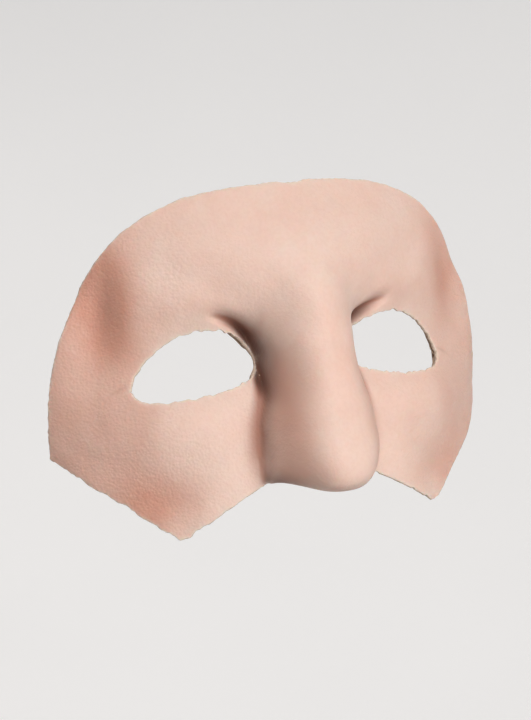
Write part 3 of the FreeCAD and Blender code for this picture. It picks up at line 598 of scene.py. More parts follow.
class Nodes:
    """Short helper for building a material's node tree."""

    def __init__(self, name):
        self.material = bpy.data.materials.new(name)
        self.material.use_nodes = True
        self.tree = self.material.node_tree
        self.shader = self.tree.nodes["Principled BSDF"]
        self.coords = self.tree.nodes.new("ShaderNodeTexCoord").outputs["Object"]

    def new(self, kind, **settings):
        node = self.tree.nodes.new(kind)
        for key, value in settings.items():
            setattr(node, key, value)
        return node

    def link(self, source, target):
        if isinstance(source, (int, float)):
            target.default_value = source
        elif isinstance(source, (tuple, list)):
            target.default_value = tuple(source) if len(source) == 4 else tuple(source) + (1.0,)
        else:
            self.tree.links.new(source, target)

    def noise(self, scale, detail=3.0, rough=0.55, distortion=0.0, stretch=None):
        node = self.new("ShaderNodeTexNoise")
        node.inputs["Scale"].default_value = scale
        node.inputs["Detail"].default_value = detail
        node.inputs["Roughness"].default_value = rough
        node.inputs["Distortion"].default_value = distortion
        self.link(self.stretched(stretch), node.inputs["Vector"])
        return node.outputs["Fac"]

    def stretched(self, stretch):
        if stretch is None:
            return self.coords
        node = self.new("ShaderNodeMapping")
        node.inputs["Scale"].default_value = stretch
        self.link(self.coords, node.inputs["Vector"])
        return node.outputs["Vector"]

    def cells(self, scale, feature="F1", randomness=1.0, smooth=None):
        node = self.new("ShaderNodeTexVoronoi", feature=feature)
        node.inputs["Scale"].default_value = scale
        node.inputs["Randomness"].default_value = randomness
        if smooth is not None:
            node.inputs["Smoothness"].default_value = smooth
        self.link(self.coords, node.inputs["Vector"])
        return node.outputs["Distance"]

    def attribute(self, name):
        return self.new("ShaderNodeAttribute", attribute_name=name).outputs["Fac"]

    def math(self, operation, a, b=0.0, clamp=False):
        node = self.new("ShaderNodeMath", operation=operation, use_clamp=clamp)
        self.link(a, node.inputs[0])
        self.link(b, node.inputs[1])
        return node.outputs[0]

    def times(self, value, share, clamp=False):
        return self.math("MULTIPLY", value, share, clamp)

    def ramp(self, value, low, high, to_low=0.0, to_high=1.0):
        node = self.new("ShaderNodeMapRange", clamp=True)
        self.link(value, node.inputs["Value"])
        for key, number in (("From Min", low), ("From Max", high),
                            ("To Min", to_low), ("To Max", to_high)):
            node.inputs[key].default_value = number
        return node.outputs["Result"]

    def mix(self, share, a, b, mode="MIX"):
        node = self.new("ShaderNodeMix", data_type="RGBA", blend_type=mode)
        self.link(share, node.inputs[0])
        self.link(a, node.inputs[6])
        self.link(b, node.inputs[7])
        return node.outputs[2]

    def bump(self, height, distance, strength=1.0, normal=None):
        node = self.new("ShaderNodeBump")
        node.inputs["Distance"].default_value = distance
        self.link(strength, node.inputs["Strength"])
        self.link(height, node.inputs["Height"])
        if normal is not None:
            self.link(normal, node.inputs["Normal"])
        return node.outputs["Normal"]

    def finish(self, color, roughness, normal=None, metallic=0.0, specular=0.5, **extra):
        self.link(color, self.shader.inputs["Base Color"])
        self.link(roughness, self.shader.inputs["Roughness"])
        self.shader.inputs["Metallic"].default_value = metallic
        self.shader.inputs["Specular IOR Level"].default_value = specular
        if normal is not None:
            self.link(normal, self.shader.inputs["Normal"])
        for key, value in extra.items():
            self.link(value, self.shader.inputs[key.replace("_", " ")])
        return self.material


# Colours, as linear red, green and blue.
SKIN_WARM, SKIN_PALE, SKIN_CLOUD = (0.84, 0.575, 0.48), (0.83, 0.605, 0.515), (0.88, 0.67, 0.58)
# Next line: the first colour is painted redder shade, the last painted shade in hollows; the
# middle one is the leather's own speck.
SKIN_PAINTED_SHADE, SKIN_SPECK, SKIN_HOLLOW_SHADE = (0.60, 0.26, 0.175), (0.70, 0.42, 0.32), (0.44, 0.20, 0.14)
# Next line: the first colour is painted near-black shade in folds, the second the cut's pale
# fibres.
SKIN_CREASE_SHADE, SKIN_FIBRE = (0.13, 0.052, 0.034), (0.86, 0.74, 0.63)
CUT_DARK, CUT_LIGHT, CUT_LAYER = (0.60, 0.43, 0.33), (0.88, 0.76, 0.65), (0.46, 0.30, 0.22)
LINING_DARK, LINING_LIGHT = (0.45, 0.30, 0.20), (0.57, 0.41, 0.29)
PAD_DARK, PAD_LIGHT = (0.55, 0.42, 0.31), (0.70, 0.56, 0.43)
TAN_DARK, TAN_LIGHT, TAN_EDGE = (0.33, 0.165, 0.075), (0.46, 0.25, 0.125), (0.12, 0.055, 0.028)
THREAD_DARK, THREAD_LIGHT = (0.58, 0.47, 0.33), (0.84, 0.76, 0.62)
NICKEL_BRIGHT, NICKEL_DULL = (0.70, 0.68, 0.645), (0.54, 0.52, 0.49)
PAPER_DARK, PAPER_LIGHT, WHITE = (0.50, 0.50, 0.50), (0.52, 0.52, 0.52), (1.0, 1.0, 1.0)


def skin_leather():
    m = Nodes("skin_leather")
    hollow, coarse, rim = m.attribute("hollow"), m.attribute("coarse"), m.attribute("rim")
    broad = m.ramp(m.noise(28, 2.0), 0.35, 0.65)
    cloud = m.ramp(m.noise(95, 4.0, 0.6), 0.35, 0.68)
    speck = m.ramp(m.noise(900, 2.0), 0.42, 0.62)
    color = m.mix(broad, SKIN_WARM, SKIN_PALE)
    color = m.mix(m.times(cloud, 0.35), color, SKIN_CLOUD)
    # Painted shade: the form's turned-away sides in a redder, darker colour.
    color = m.mix(m.times(m.attribute("worn"), 0.8), color, SKIN_PAINTED_SHADE)
    color = m.mix(m.times(speck, 0.12), color, SKIN_SPECK)
    # Painted shade: darker, redder colour in the hollows.
    color = m.mix(hollow, color, SKIN_HOLLOW_SHADE)
    # Painted shade: near-black colour in the deep folds.
    color = m.mix(m.times(m.attribute("crease"), 0.95), color, SKIN_CREASE_SHADE)
    fibre = m.times(rim, m.ramp(m.noise(1500, 3.0, 0.7), 0.25, 0.60), clamp=True)
    color = m.mix(fibre, color, SKIN_FIBRE)
    grain_cells = m.cells(1150, "SMOOTH_F1", 1.0, 0.35)
    fine_cells = m.cells(2500, "SMOOTH_F1", 1.0, 0.4)
    pebble = m.noise(420, 3.0, 0.6)
    crease = m.noise(150, 3.0, 0.6, 0.6, stretch=(1.0, 1.0, 2.6))
    depth = m.ramp(coarse, 0.0, 1.0, 0.30, 1.0)
    normal = m.bump(pebble, 0.00028, m.ramp(coarse, 0.0, 1.0, 0.20, 0.60))
    normal = m.bump(crease, 0.0005, m.ramp(coarse, 0.0, 1.0, 0.10, 0.5), normal)
    normal = m.bump(grain_cells, 0.00016, depth, normal)
    normal = m.bump(fine_cells, 0.00005, 0.6, normal)
    rough = m.ramp(m.noise(260, 3.0), 0.3, 0.7, 0.50, 0.64)
    rough = m.math("ADD", rough, m.times(rim, 0.2), clamp=True)
    return m.finish(color, rough, normal, specular=0.38, Subsurface_Weight=0.25,
                    Subsurface_Scale=0.003, Sheen_Weight=0.08, Sheen_Roughness=0.5)


def cut_edge():
    m = Nodes("cut_edge")
    fibre = m.noise(1400, 4.0, 0.75)
    layers = m.noise(500, 3.0, 0.6)
    color = m.mix(m.ramp(fibre, 0.3, 0.7), CUT_DARK, CUT_LIGHT)
    color = m.mix(m.ramp(layers, 0.5, 0.72, 0.0, 0.5), color, CUT_LAYER)
    normal = m.bump(fibre, 0.0003, 0.9)
    return m.finish(color, 0.9, normal, specular=0.2)


def suede(name, dark, light, pile=1900, strength=0.6):
    m = Nodes(name)
    cloud = m.ramp(m.noise(120, 4.0, 0.6), 0.35, 0.66)
    nap = m.noise(pile, 4.0, 0.8)
    color = m.mix(cloud, dark, light)
    shade = tuple(c * 0.72 for c in dark)
    color = m.mix(m.ramp(nap, 0.50, 0.75, 0.0, 0.5), color, shade)
    normal = m.bump(nap, 0.00012, strength)
    normal = m.bump(m.noise(350, 3.0), 0.0003, 0.35, normal)
    return m.finish(color, 0.93, normal, specular=0.15, Sheen_Weight=0.35,
                    Sheen_Roughness=0.6)


def tan_leather():
    m = Nodes("strap_leather")
    rim = m.attribute("rim")
    cloud = m.ramp(m.noise(160, 4.0, 0.6), 0.3, 0.7)
    color = m.mix(cloud, TAN_DARK, TAN_LIGHT)
    color = m.mix(m.times(rim, 0.75, clamp=True), color, TAN_EDGE)
    grain = m.cells(1700, "SMOOTH_F1", 1.0, 0.3)
    normal = m.bump(grain, 0.00010, 0.6)
    normal = m.bump(m.noise(500, 3.0), 0.0002, 0.4, normal)
    rough = m.ramp(m.noise(300, 3.0), 0.3, 0.7, 0.42, 0.60)
    return m.finish(color, rough, normal, specular=0.45)


def waxed_thread():
    m = Nodes("thread")
    twist = m.noise(2600, 2.0)
    color = m.mix(m.ramp(twist, 0.35, 0.65), THREAD_DARK, THREAD_LIGHT)
    return m.finish(color, 0.6, m.bump(twist, 0.0001, 0.7), specular=0.35)


def nickel():
    m = Nodes("ring_steel")
    wear = m.ramp(m.noise(420, 4.0, 0.65), 0.40, 0.72)
    scratch = m.noise(1800, 2.0, stretch=(1.0, 1.0, 0.15))
    color = m.mix(wear, NICKEL_BRIGHT, NICKEL_DULL)
    rough = m.ramp(wear, 0.0, 1.0, 0.16, 0.36)
    return m.finish(color, rough, m.bump(scratch, 0.00003, 0.5), metallic=1.0)


skin_material, edge_material = skin_leather(), cut_edge()
lining_material = suede("lining_leather", LINING_DARK, LINING_LIGHT)
pad_material = suede("pad_suede", PAD_DARK, PAD_LIGHT, 1500, 0.8)
strap_material, thread_material, steel = tan_leather(), waxed_thread(), nickel()


# ---------------------------------------------------------------- skin and lining

def hollow_shade_mask(points, n):
    """How far each point lies below its surroundings, over a wide and a tight reach, for shade
    painted into the hollows.
    """
    cells = ROWS / 100.0
    wide = ((blurred(points, int(5 * cells)) - points) * n).sum(-1)
    tight = ((blurred(points, max(1, int(1.6 * cells))) - points) * n).sum(-1)
    return np.clip(ease(wide / 2.2) * 0.75 + ease(tight / 0.35) * 0.5 - 0.05, 0, 0.9)


def coarse_mask(a, z, points):
    """Leather stretched less keeps its grain: the sides and the cheeks, not the middle."""
    cheek = until(z, -18, 16) * beyond(a, 18, 10)
    coarse = 0.15 + 0.55 * beyond(a, 22, 34) + 0.3 * cheek
    return coarse * (1 - 0.6 * until(a, 22, 10)) + 0.10 * layered_noise(points, 9, 5, 2)


def crease_shade_mask(a, z, apart):
    """Painted dark shade in the fold over the eye, beside the nose and under its wings."""
    lid = (bell((apart + W.lid_inset) / W.lid_reach) * until(a, W.lid_outer_end, W.lid_outer_fade)
           * beyond(z, W.lid_lower_end, W.lid_lower_fade))
    wall = (bell((a - nose_half_width(z) + W.wall_inset) / W.wall_reach)
            * until(z, W.wall_top, W.wall_fade))
    wing = until(z, W.wing_start, W.wing_fade) * bell((a - W.wing_across) / W.wing_reach)
    return W.lid * lid + W.wall * wall + W.wing * wing


def painted_shade_and_tone_mask(x, z, points):
    """Painted redder shade: temple, jowl and side, more on the left, then nose and brow, and
    uneven tone.
    """
    a = np.abs(x)
    worn = (W.temple * spot(W, "temple", a, z) + W.jowl * spot(W, "jowl", a, z)
            + W.side * beyond(a, W.side_start, W.side_fade)) * np.where(x < 0, 1.0, W.other_side)
    nose_sides = bell((a - W.nose_across) / W.nose_reach) * until(z, W.nose_start, W.nose_fade)
    brow = bell((z - W.brow_height) / W.brow_reach) * beyond(a, W.brow_start, W.brow_fade)
    worn = worn + W.nose * nose_sides + W.brow * brow
    return np.clip(worn + W.uneven * layered_noise(points, 8, 15, 2), 0, 1)


def make_skin():
    """Outer leather with the attributes that its material reads."""
    u, v, faces, distance = shell(COLUMNS, ROWS, 1.0, 0.0, 1.0)
    points, x, z = form(u, v)
    a, apart = np.abs(x), lid_distance(x, z)
    coarse = coarse_mask(a, z, points)
    rim = np.exp(-distance / 0.45)
    groove = bell(apart / 3.5) * until(a, 32, 8) * beyond(z, -24, 6)
    relief = (0.22 * layered_noise(points, 13.0, 71, 2) + 0.05 * layered_noise(points, 3.4, 83, 2)
              * np.clip(coarse, 0.2, 1.0))
    relief = relief * (1 - 0.5 * rim) - 0.12 * rim
    verts, all_faces, kinds, used, count, total = solid_sheet(
        u, v, faces, 0.0, S.skin_thickness, relief, 0.10, distance, groove)
    # The first three masks paint shade into the skin's colour: in hollows, on turned-away sides
    # with some uneven tone, and in folds; coarse sets the grain, rim the cut's pale fibres.
    masks = {"hollow": (hollow_shade_mask(points, normals(u, v)), 0.0),
             "worn": (painted_shade_and_tone_mask(x, z, points), 0.0),
             "crease": (np.clip(crease_shade_mask(a, z, apart), 0, 1), 0.0),
             "coarse": (np.clip(coarse, 0, 1), 0.5),
             "rim": (rim, 1.0)}
    masks = {name: spread(values, used, count, total, at_edge)
             for name, (values, at_edge) in masks.items()}
    make_object("skin_shell", verts, all_faces, [skin_material, edge_material], "mask",
                ["face_skin"], "skin_leather", masks, [1 if kind else 0 for kind in kinds], 50)


def make_lining():
    """Thin inner sheet, at half the skin's grid."""
    u, v, faces, distance = shell(COLUMNS // 2, ROWS // 2, 1.0, 0.8, 0.6)
    verts, all_faces, kinds, used, count, total = solid_sheet(
        u, v, faces, LINING_DEPTH, S.lining_thickness, 0.0, 0.06, distance, 0.0)
    make_object("lining_sheet", verts, all_faces, [lining_material], "mask",
                ["face_lining"], "lining_leather", sharp_angle=60)


make_skin()
make_lining()

# ---------------------------------------------------------------- pads, patches and loops

def seat(across, height, depth):
    """Origin and axes on the inside of the plain form: X edgewards, Y inwards, Z upwards."""
    u, v = locate(across, height)
    one_u, one_v = np.array(u), np.array(v)
    inwards = -normals(one_u, one_v, False)
    upwards = np.array([0.0, 0.0, 1.0]) - inwards * inwards[2]
    upwards /= np.linalg.norm(upwards)
    origin = form(one_u, one_v, False)[0] + inwards * depth
    return origin, np.stack([np.cross(inwards, upwards), inwards, upwards]), (u, v)


def placed(frame_of, local):
    """Local points of a seat, in the part's frame."""
    origin, axes, start = frame_of
    return origin + np.asarray(local) @ axes + SHIFT


def on_form(frame_of, a, b):
    """u and v of the lined form's points that lie at a and b in the seat's plane."""
    origin, axes, (start_u, start_v) = frame_of
    plane = axes[[0, 2]].T
    u, v = a * 0.0 + start_u, a * 0.0 + start_v
    step = 1e-3

    def lined(u, v):
        return (form(u, v)[0] - normals(u, v) * INSIDE_DEPTH - origin) @ plane

    for turn in range(6):
        here = lined(u, v)
        along_u, along_v = (lined(u + step, v) - here) / step, (lined(u, v + step) - here) / step
        miss = np.stack([a, b], -1) - here
        size = along_u[..., 0] * along_v[..., 1] - along_u[..., 1] * along_v[..., 0]
        u = u + (miss[..., 0] * along_v[..., 1] - miss[..., 1] * along_v[..., 0]) / size
        v = v + (along_u[..., 0] * miss[..., 1] - along_u[..., 1] * miss[..., 0]) / size
    return u, v


def rounded_rings(length, height, corner, insets, counts):
    """Nested rounded rectangles, each set in from the outline: (ring, point, 2)."""
    shares = [(np.arange(count) + 0.5) / count * 2 - 1 for count in counts]
    ones = [np.ones(count) for count in counts]
    s = np.concatenate([shares[0], ones[1], -shares[0], -ones[1]])
    t = np.concatenate([-ones[0], shares[1], ones[0], -shares[1]])
    rings = []
    for inset in insets:
        half_x, half_y = length / 2 - inset, height / 2 - inset
        bend = min(max(corner - inset, 0.1), half_x, half_y)
        over = np.stack([np.maximum(np.abs(s) * half_x - half_x + bend, 0),
                         np.maximum(np.abs(t) * half_y - half_y + bend, 0)])
        reach = np.maximum(np.linalg.norm(over, axis=0), 1e-9)
        pull = over * np.where((over > 0).all(0), 1 - bend / reach, 0.0)
        rings.append(np.stack([np.sign(s) * (np.abs(s) * half_x - pull[0]),
                               np.sign(t) * (np.abs(t) * half_y - pull[1])], -1))
    return np.stack(rings)


def ring_faces(levels, sides, offset=0, flip=False, closed=False):
    """Four-sided faces between rings that follow each other, and back to the first if closed."""
    faces = []
    for level in range(levels if closed else levels - 1):
        here, there = offset + level * sides, offset + (level + 1) % levels * sides
        for k in range(sides):
            after = (k + 1) % sides
            face = (here + k, here + after, there + after, there + k)
            faces.append(face[::-1] if flip else face)
    return faces


def end_faces(levels, sides):
    last = (levels - 1) * sides
    return [tuple(range(sides))[::-1], tuple(last + k for k in range(sides))]


def cap_faces(counts, offset=0):
    """Closes the innermost ring of rounded_rings with rows of four-sided faces."""
    wide, tall = counts
    sides, faces = 2 * (wide + tall), []
    for k in range(-tall // 2, wide + tall // 2 - 1):
        mirror = 2 * wide + tall - 1 - k
        faces.append(tuple(offset + i % sides for i in (k, k + 1, mirror - 1, mirror)))
    return faces


def tube(points, radius, sides=8, taper=0.0, twist=0.0):
    """Round thread along a line: its points and faces."""
    p = np.asarray(points, float)
    t = np.gradient(p, axis=0)
    t /= np.linalg.norm(t, axis=1, keepdims=True)
    ref = np.array([0.0, 0.0, 1.0]) if np.abs(t[:, 2]).mean() < 0.8 else np.array([1.0, 0, 0])
    n1 = np.cross(t, ref)
    n1 /= np.linalg.norm(n1, axis=1, keepdims=True)
    n2 = np.cross(t, n1)
    turn = 2 * np.pi * np.arange(sides) / sides
    share = np.linspace(-1, 1, len(p))
    size = radius * (1 - taper * np.abs(share) ** 4)
    ply = 1 + twist * np.cos(2 * (turn[None] + share[:, None] * 5))
    ring = p[:, None] + (size[:, None, None] * ply[..., None]
                         * (n1[:, None] * np.cos(turn)[None, :, None]
                            + n2[:, None] * np.sin(turn)[None, :, None]))
    verts = ring.reshape(-1, 3)
    return verts, ring_faces(len(p), sides) + end_faces(len(p), sides)


class Heap:
    """Collects points, faces and material numbers of one piece."""

    def __init__(self):
        self.verts, self.faces, self.kinds, self.rim = [], [], [], []
        self.bodies = []

    def add(self, verts, faces, kind=0, rim=0.0):
        start = sum(len(v) for v in self.verts)
        self.verts.append(np.asarray(verts))
        self.bodies.append((len(self.faces), len(self.faces) + len(faces)))
        self.faces += [tuple(start + k for k in face) for face in faces]
        self.kinds += [kind] * len(faces)
        self.rim.append(np.zeros(len(verts)) + rim)

    def build(self, name, materials, mirror, **settings):
        verts = np.concatenate(self.verts)
        faces = self.faces
        if mirror:
            verts = verts * np.array([-1, 1, 1])
            faces = [face[::-1] for face in faces]
        made = make_object(name, verts, faces, materials, face_materials=self.kinds,
                           attributes={"rim": np.concatenate(self.rim)}, **settings)
        work = bmesh.new()
        work.from_mesh(made.data)
        bmesh.ops.recalc_face_normals(work, faces=work.faces)
        work.faces.ensure_lookup_table()
        for first, last in self.bodies:
            body = work.faces[first:last]
            if sum(f.calc_center_median().dot(f.normal) * f.calc_area() for f in body) < 0:
                bmesh.ops.reverse_faces(work, faces=body)
        work.to_mesh(made.data)
        work.free()
        return made


def sew(heap, path, outwards, pitch, length, radius, kind):
    """Thread stitches along a closed line, each dipping in at both ends."""
    ring, up = np.concatenate([path, path[:1]]), np.concatenate([outwards, outwards[:1]])
    reach = np.concatenate([[0], np.cumsum(np.linalg.norm(np.diff(ring, axis=0), axis=1))])
    count = int(reach[-1] / pitch)
    along = np.linspace(-length / 2, length / 2, 7)
    lift = radius * (0.5 - 1.6 * np.abs(along / length * 2) ** 3)
    for k in range(count):
        at = (k + 0.5) * reach[-1] / count + along
        line = np.stack([np.interp(at, reach, ring[:, axis]) for axis in range(3)], -1)
        away = np.stack([np.interp(at, reach, up[:, axis]) for axis in range(3)], -1)
        verts, faces = tube(line + away * lift[:, None], radius, 8, taper=0.35, twist=0.10)
        heap.add(verts, faces, kind)


def puffed(length, height, corner, thickness):
    """A foam pad's cover, blown up as cloth inside its sewn flange: places and heights."""
    insets = np.concatenate([np.linspace(height / 2 - 0.3, FLANGE, 13),
                             [FLANGE * 0.8, SEAM_INSET, 0.4, 0.15, 0.04, 0.0]])
    flat = rounded_rings(length, height, corner, insets, PAD_COUNTS)
    rise = np.clip((insets - FLANGE) / (height / 2 - FLANGE), 0, 1)
    edge = ease(insets / 0.4 + 0.25)
    crown = (thickness - FLANGE_THICKNESS) * (1 - (1 - rise) ** 2.4) ** 0.65
    heights = np.repeat((FLANGE_THICKNESS * edge + crown)[:, None], PAD_SIDES, 1)
    start = np.concatenate([flat, heights[..., None] * 0.92], -1).reshape(-1, 3)
    faces = ring_faces(len(insets), PAD_SIDES)
    faces += [face[::-1] for face in cap_faces(PAD_COUNTS)]
    last, first = (len(insets) - 1) * PAD_SIDES, len(start)
    faces += [(last + (k + 1) % PAD_SIDES, last + k, first) for k in range(PAD_SIDES)]
    mesh = bpy.data.meshes.new("puff")
    mesh.from_pydata((np.concatenate([start, [[0, 0, 0]]]) * PUFF_SCALE).tolist(), [], faces)
    made = add_object("puff", mesh)
    scene = bpy.context.scene
    pinned = made.vertex_groups.new(name="sewn")
    held = np.nonzero(insets <= FLANGE)[0].min() * PAD_SIDES
    pinned.add(list(range(held, first + 1)), 1.0, "REPLACE")
    settings = made.modifiers.new("cloth", "CLOTH").settings
    settings.quality = 6
    settings.tension_stiffness = settings.compression_stiffness = 10
    settings.bending_stiffness = 0.3
    settings.use_pressure = True
    settings.uniform_pressure_force = 4.0
    settings.effector_weights.gravity = 0.0
    settings.vertex_group_mass = "sewn"
    for number in range(1, PUFF_FRAMES + 1):
        scene.frame_set(number)
    result = made.evaluated_get(bpy.context.evaluated_depsgraph_get()).to_mesh()
    moved = np.empty((first + 1) * 3)
    result.vertices.foreach_get("co", moved)
    moved = moved.reshape(-1, 3)[:first] / PUFF_SCALE
    scene.frame_set(1)
    bpy.data.objects.remove(made)
    bpy.data.meshes.remove(mesh)
    most = PUFF_CAP * thickness
    blown = start[:, 2] + np.clip(moved[:, 2] - start[:, 2], -most, most)
    blown = blown.reshape(len(insets), PAD_SIDES)
    blown = sum(np.roll(blown, turn, 1) for turn in range(-3, 4)) / 7
    blown[1:-1] = (blown[:-2] + 2 * blown[1:-1] + blown[2:]) / 4
    blown[0] = blown[0].mean() * 0.5 + blown[1] * 0.5
    return flat, np.minimum(blown, thickness), insets


def make_pad(name, across, height, length, tall, thickness, corner, mirror, node):
    place = seat(across, height, INSIDE_DEPTH)
    flat, heights, insets = puffed(length, tall, corner, thickness)
    u, v = on_form(place, flat[..., 0], flat[..., 1])
    base, n = form(u, v)[0], normals(u, v)
    soft = ease((insets - FLANGE) / 1.5)[:, None]
    heights = heights + soft * 0.12 * value_noise(np.concatenate([flat, heights[..., None]], -1),
                                                  2.8, 107)
    top = base - n * (INSIDE_DEPTH + heights)[..., None] + SHIFT
    foot = base - n * (INSIDE_DEPTH - SINK) + SHIFT
    count, under = len(insets), len(insets) * PAD_SIDES
    faces = ring_faces(count, PAD_SIDES, flip=True) + cap_faces(PAD_COUNTS)
    faces += ring_faces(count, PAD_SIDES, under)
    faces += [face[::-1] for face in cap_faces(PAD_COUNTS, under)]
    last = under - PAD_SIDES
    for k in range(PAD_SIDES):
        follow = (k + 1) % PAD_SIDES
        faces.append((last + k, last + under + k, last + under + follow, last + follow))
    heap = Heap()
    heap.add(np.concatenate([top.reshape(-1, 3), foot.reshape(-1, 3)]), faces)
    seam = list(insets).index(SEAM_INSET)
    sew(heap, top[seam], -n[seam], 2.0, 1.35, 0.2, 1)
    made = heap.build(name, [pad_material, thread_material], mirror, replaced=[node],
                      slot="pad_suede")


def make_patch(side, mirror):
    """Leather patch with a stitched groove, from the lining's curve up to a flat face."""
    rise = S.eye_height - S.patch_drop
    place = seat(S.patch_across, rise, INSIDE_DEPTH)
    sides, thick = 2 * sum(PATCH_COUNTS), S.patch_thickness
    insets, drop = np.array(PATCH_INSETS), np.array(PATCH_DROPS)[:, None]
    flat = rounded_rings(S.patch_length, S.patch_height, S.patch_corner, insets,
                         PATCH_COUNTS)
    uneven = 0.05 * value_noise(np.concatenate([flat, flat[..., :1] * 0], -1), 3.0, 131)
    local = np.stack([flat[..., 0], thick + drop + uneven, flat[..., 1]], -1)
    u, v = on_form(place, flat[::-1, :, 0], flat[::-1, :, 1])
    foot = form(u, v)[0] - normals(u, v) * (INSIDE_DEPTH - SINK) + SHIFT
    verts = np.concatenate([placed(place, local).reshape(-1, 3), foot.reshape(-1, 3)])
    levels = 2 * len(insets)
    faces = ring_faces(levels, sides, flip=True) + cap_faces(PATCH_COUNTS)
    faces += [face[::-1] for face in cap_faces(PATCH_COUNTS, (levels - 1) * sides)]
    rim = np.repeat(ease((0.6 - insets) / 0.5), sides)
    rim = np.concatenate([rim, rim[::-1]])
    heap = Heap()
    heap.add(verts, faces, 0, rim)
    line = local[PATCH_GROOVE]
    line[:, 1] = thick - THREAD_SINK
    sew(heap, placed(place, line), np.tile(place[1][1], (sides, 1)), 2.3, 1.7, 0.24, 1)
    heap.build("patch_" + side, [strap_material, thread_material], mirror,
               replaced=["temple_patch_" + side], slot="strap_leather", sharp_angle=70)
    return place


def make_loop(side, place, mirror):
    """Strip folded round the ring's bar, with its stitches."""
    lift = np.array([S.loop_offset, S.patch_thickness, 0.0])
    strip = S.loop_strip_thickness
    radius = S.ring_wire_radius + S.ring_running_clearance + strip / 2
    centre = S.ring_wire_radius + S.ring_running_clearance + strip
    path = [(x, strip / 2) for x in np.linspace(-S.loop_tail, 0, 14)]
    path += [(radius * math.sin(t), centre - radius * math.cos(t))
             for t in np.linspace(0.12, math.pi + S.loop_wrap, 26)]
    start_x, start_y = path[-1]
    for x in np.linspace(start_x, -S.loop_tail, 26)[1:]:
        line = start_y + math.tan(S.loop_wrap) * (x - start_x)
        path.append((x, (line + 1.5 * strip + math.hypot(line - 1.5 * strip, LOOP_JOIN)) / 2))
    path = np.array(path)
    t = np.gradient(path, axis=0)
    t /= np.linalg.norm(t, axis=1, keepdims=True)
    n = np.stack([-t[:, 1], t[:, 0]], 1)
    half_w, half_t, r = S.loop_strip_width / 2, strip / 2, LOOP_ROUNDING
    corner = np.linspace(0, np.pi / 2, 5)
    section = []
    for sx, sy, turn in ((1, 1, 0), (-1, 1, 1), (-1, -1, 2), (1, -1, 3)):
        for c in corner:
            angle = c + turn * np.pi / 2
            section.append((sx * (half_w - r) + r * np.cos(angle),
                            sy * (half_t - r) + r * np.sin(angle)))
    section = np.array(section)
    sides = len(section)
    across, through = section[:, 0], section[:, 1] * LOOP_FIT

    def skive(x):
        return 1 - LOOP_SKIVE * ease(1 - (x + S.loop_tail) / LOOP_SKIVE_REACH)

    local = np.stack([path[:, None, 0] + n[:, None, 0] * through,
                      path[:, None, 1] + n[:, None, 1] * through,
                      across[None] + path[:, None, 0] * 0], -1)
    local[..., 1] *= skive(local[..., 0])
    local = local + lift
    uneven = value_noise(local, 2.4, 151)[..., None] * 0.03
    verts = placed(place, local + uneven * np.array([0, 1, 0])).reshape(-1, 3)
    faces = ring_faces(len(path), sides) + end_faces(len(path), sides)
    edge = ease((np.abs(across) - half_w + 0.75) / 0.6)
    heap = Heap()
    heap.add(verts, faces, 0, np.tile(edge, len(path)))
    heap.build("loop_" + side, [strap_material], mirror, replaced=["ring_loop_" + side],
               slot="strap_leather", sharp_angle=70)
    heap = Heap()
    for row in (-1, 1):
        for k in range(3):
            middle = -S.loop_tail + S.stitch_inset + k * S.stitch_pitch
            middle += S.stitch_length / 2
            along = np.linspace(-0.62, 0.62, 9) * S.stitch_length
            y = 2 * strip + S.stitch_radius * (0.75 - 1.9 * np.abs(along / 0.81) ** 4)
            y = y * skive(middle + along)
            z = row * (S.loop_strip_width / 2 - S.stitch_inset) + along * 0.06
            local_line = np.stack([middle + along, y, z + along * 0], -1) + lift
            verts, faces = tube(placed(place, local_line), S.stitch_radius, 8,
                                taper=0.3, twist=0.12)
            heap.add(verts, faces)
    heap.build("loop_thread_" + side, [thread_material], mirror,
               replaced=["loop_stitches_" + side], slot="thread")


def make_ring(side, place, mirror):
    """Wire D-ring whose straight bar lies in the loop."""
    wire = S.ring_wire_radius
    centre = wire + S.ring_running_clearance + S.loop_strip_thickness
    half, corner, straight = S.ring_inner_width / 2 + wire, S.ring_corner, S.ring_side
    path = [(0.0, z) for z in np.linspace(-(half - corner), half - corner, BAR_STEPS)]
    path += [(corner - corner * math.cos(t), half - corner + corner * math.sin(t))
             for t in np.linspace(0, np.pi / 2, CORNER_STEPS)[1:]]
    path += [(corner + straight * k / 3, half) for k in (1, 2)]
    path += [(corner + straight + half * math.sin(t), half * math.cos(t))
             for t in np.linspace(0, np.pi, BOW_STEPS)]
    path += [(corner + straight * k / 3, -half) for k in (2, 1)]
    path += [(corner - corner * math.sin(t), -(half - corner) - corner * math.cos(t))
             for t in np.linspace(0, np.pi / 2, CORNER_STEPS)[:-1]]
    path = np.array(path)
    local = np.stack([path[:, 0] + S.loop_offset,
                      path[:, 0] * 0 + S.patch_thickness + centre, path[:, 1]], -1)
    turn = 2 * np.pi * np.arange(RING_SIDES) / RING_SIDES
    t = np.roll(path, -1, 0) - np.roll(path, 1, 0)
    t /= np.linalg.norm(t, axis=1, keepdims=True)
    normal = np.stack([-t[:, 1], t[:, 0] * 0, t[:, 0]], 1)
    flat = np.array([0.0, 1.0, 0.0])
    ring = local[:, None] + wire * (normal[:, None] * np.cos(turn)[None, :, None]
                                    + flat * np.sin(turn)[None, :, None])
    verts = placed(place, ring).reshape(-1, 3)
    heap = Heap()
    heap.add(verts, ring_faces(len(path), RING_SIDES, closed=True))
    heap.build("wire_ring_" + side, [steel], mirror, body="ring_" + side,
               replaced=["strap_ring_" + side], slot="ring_steel")


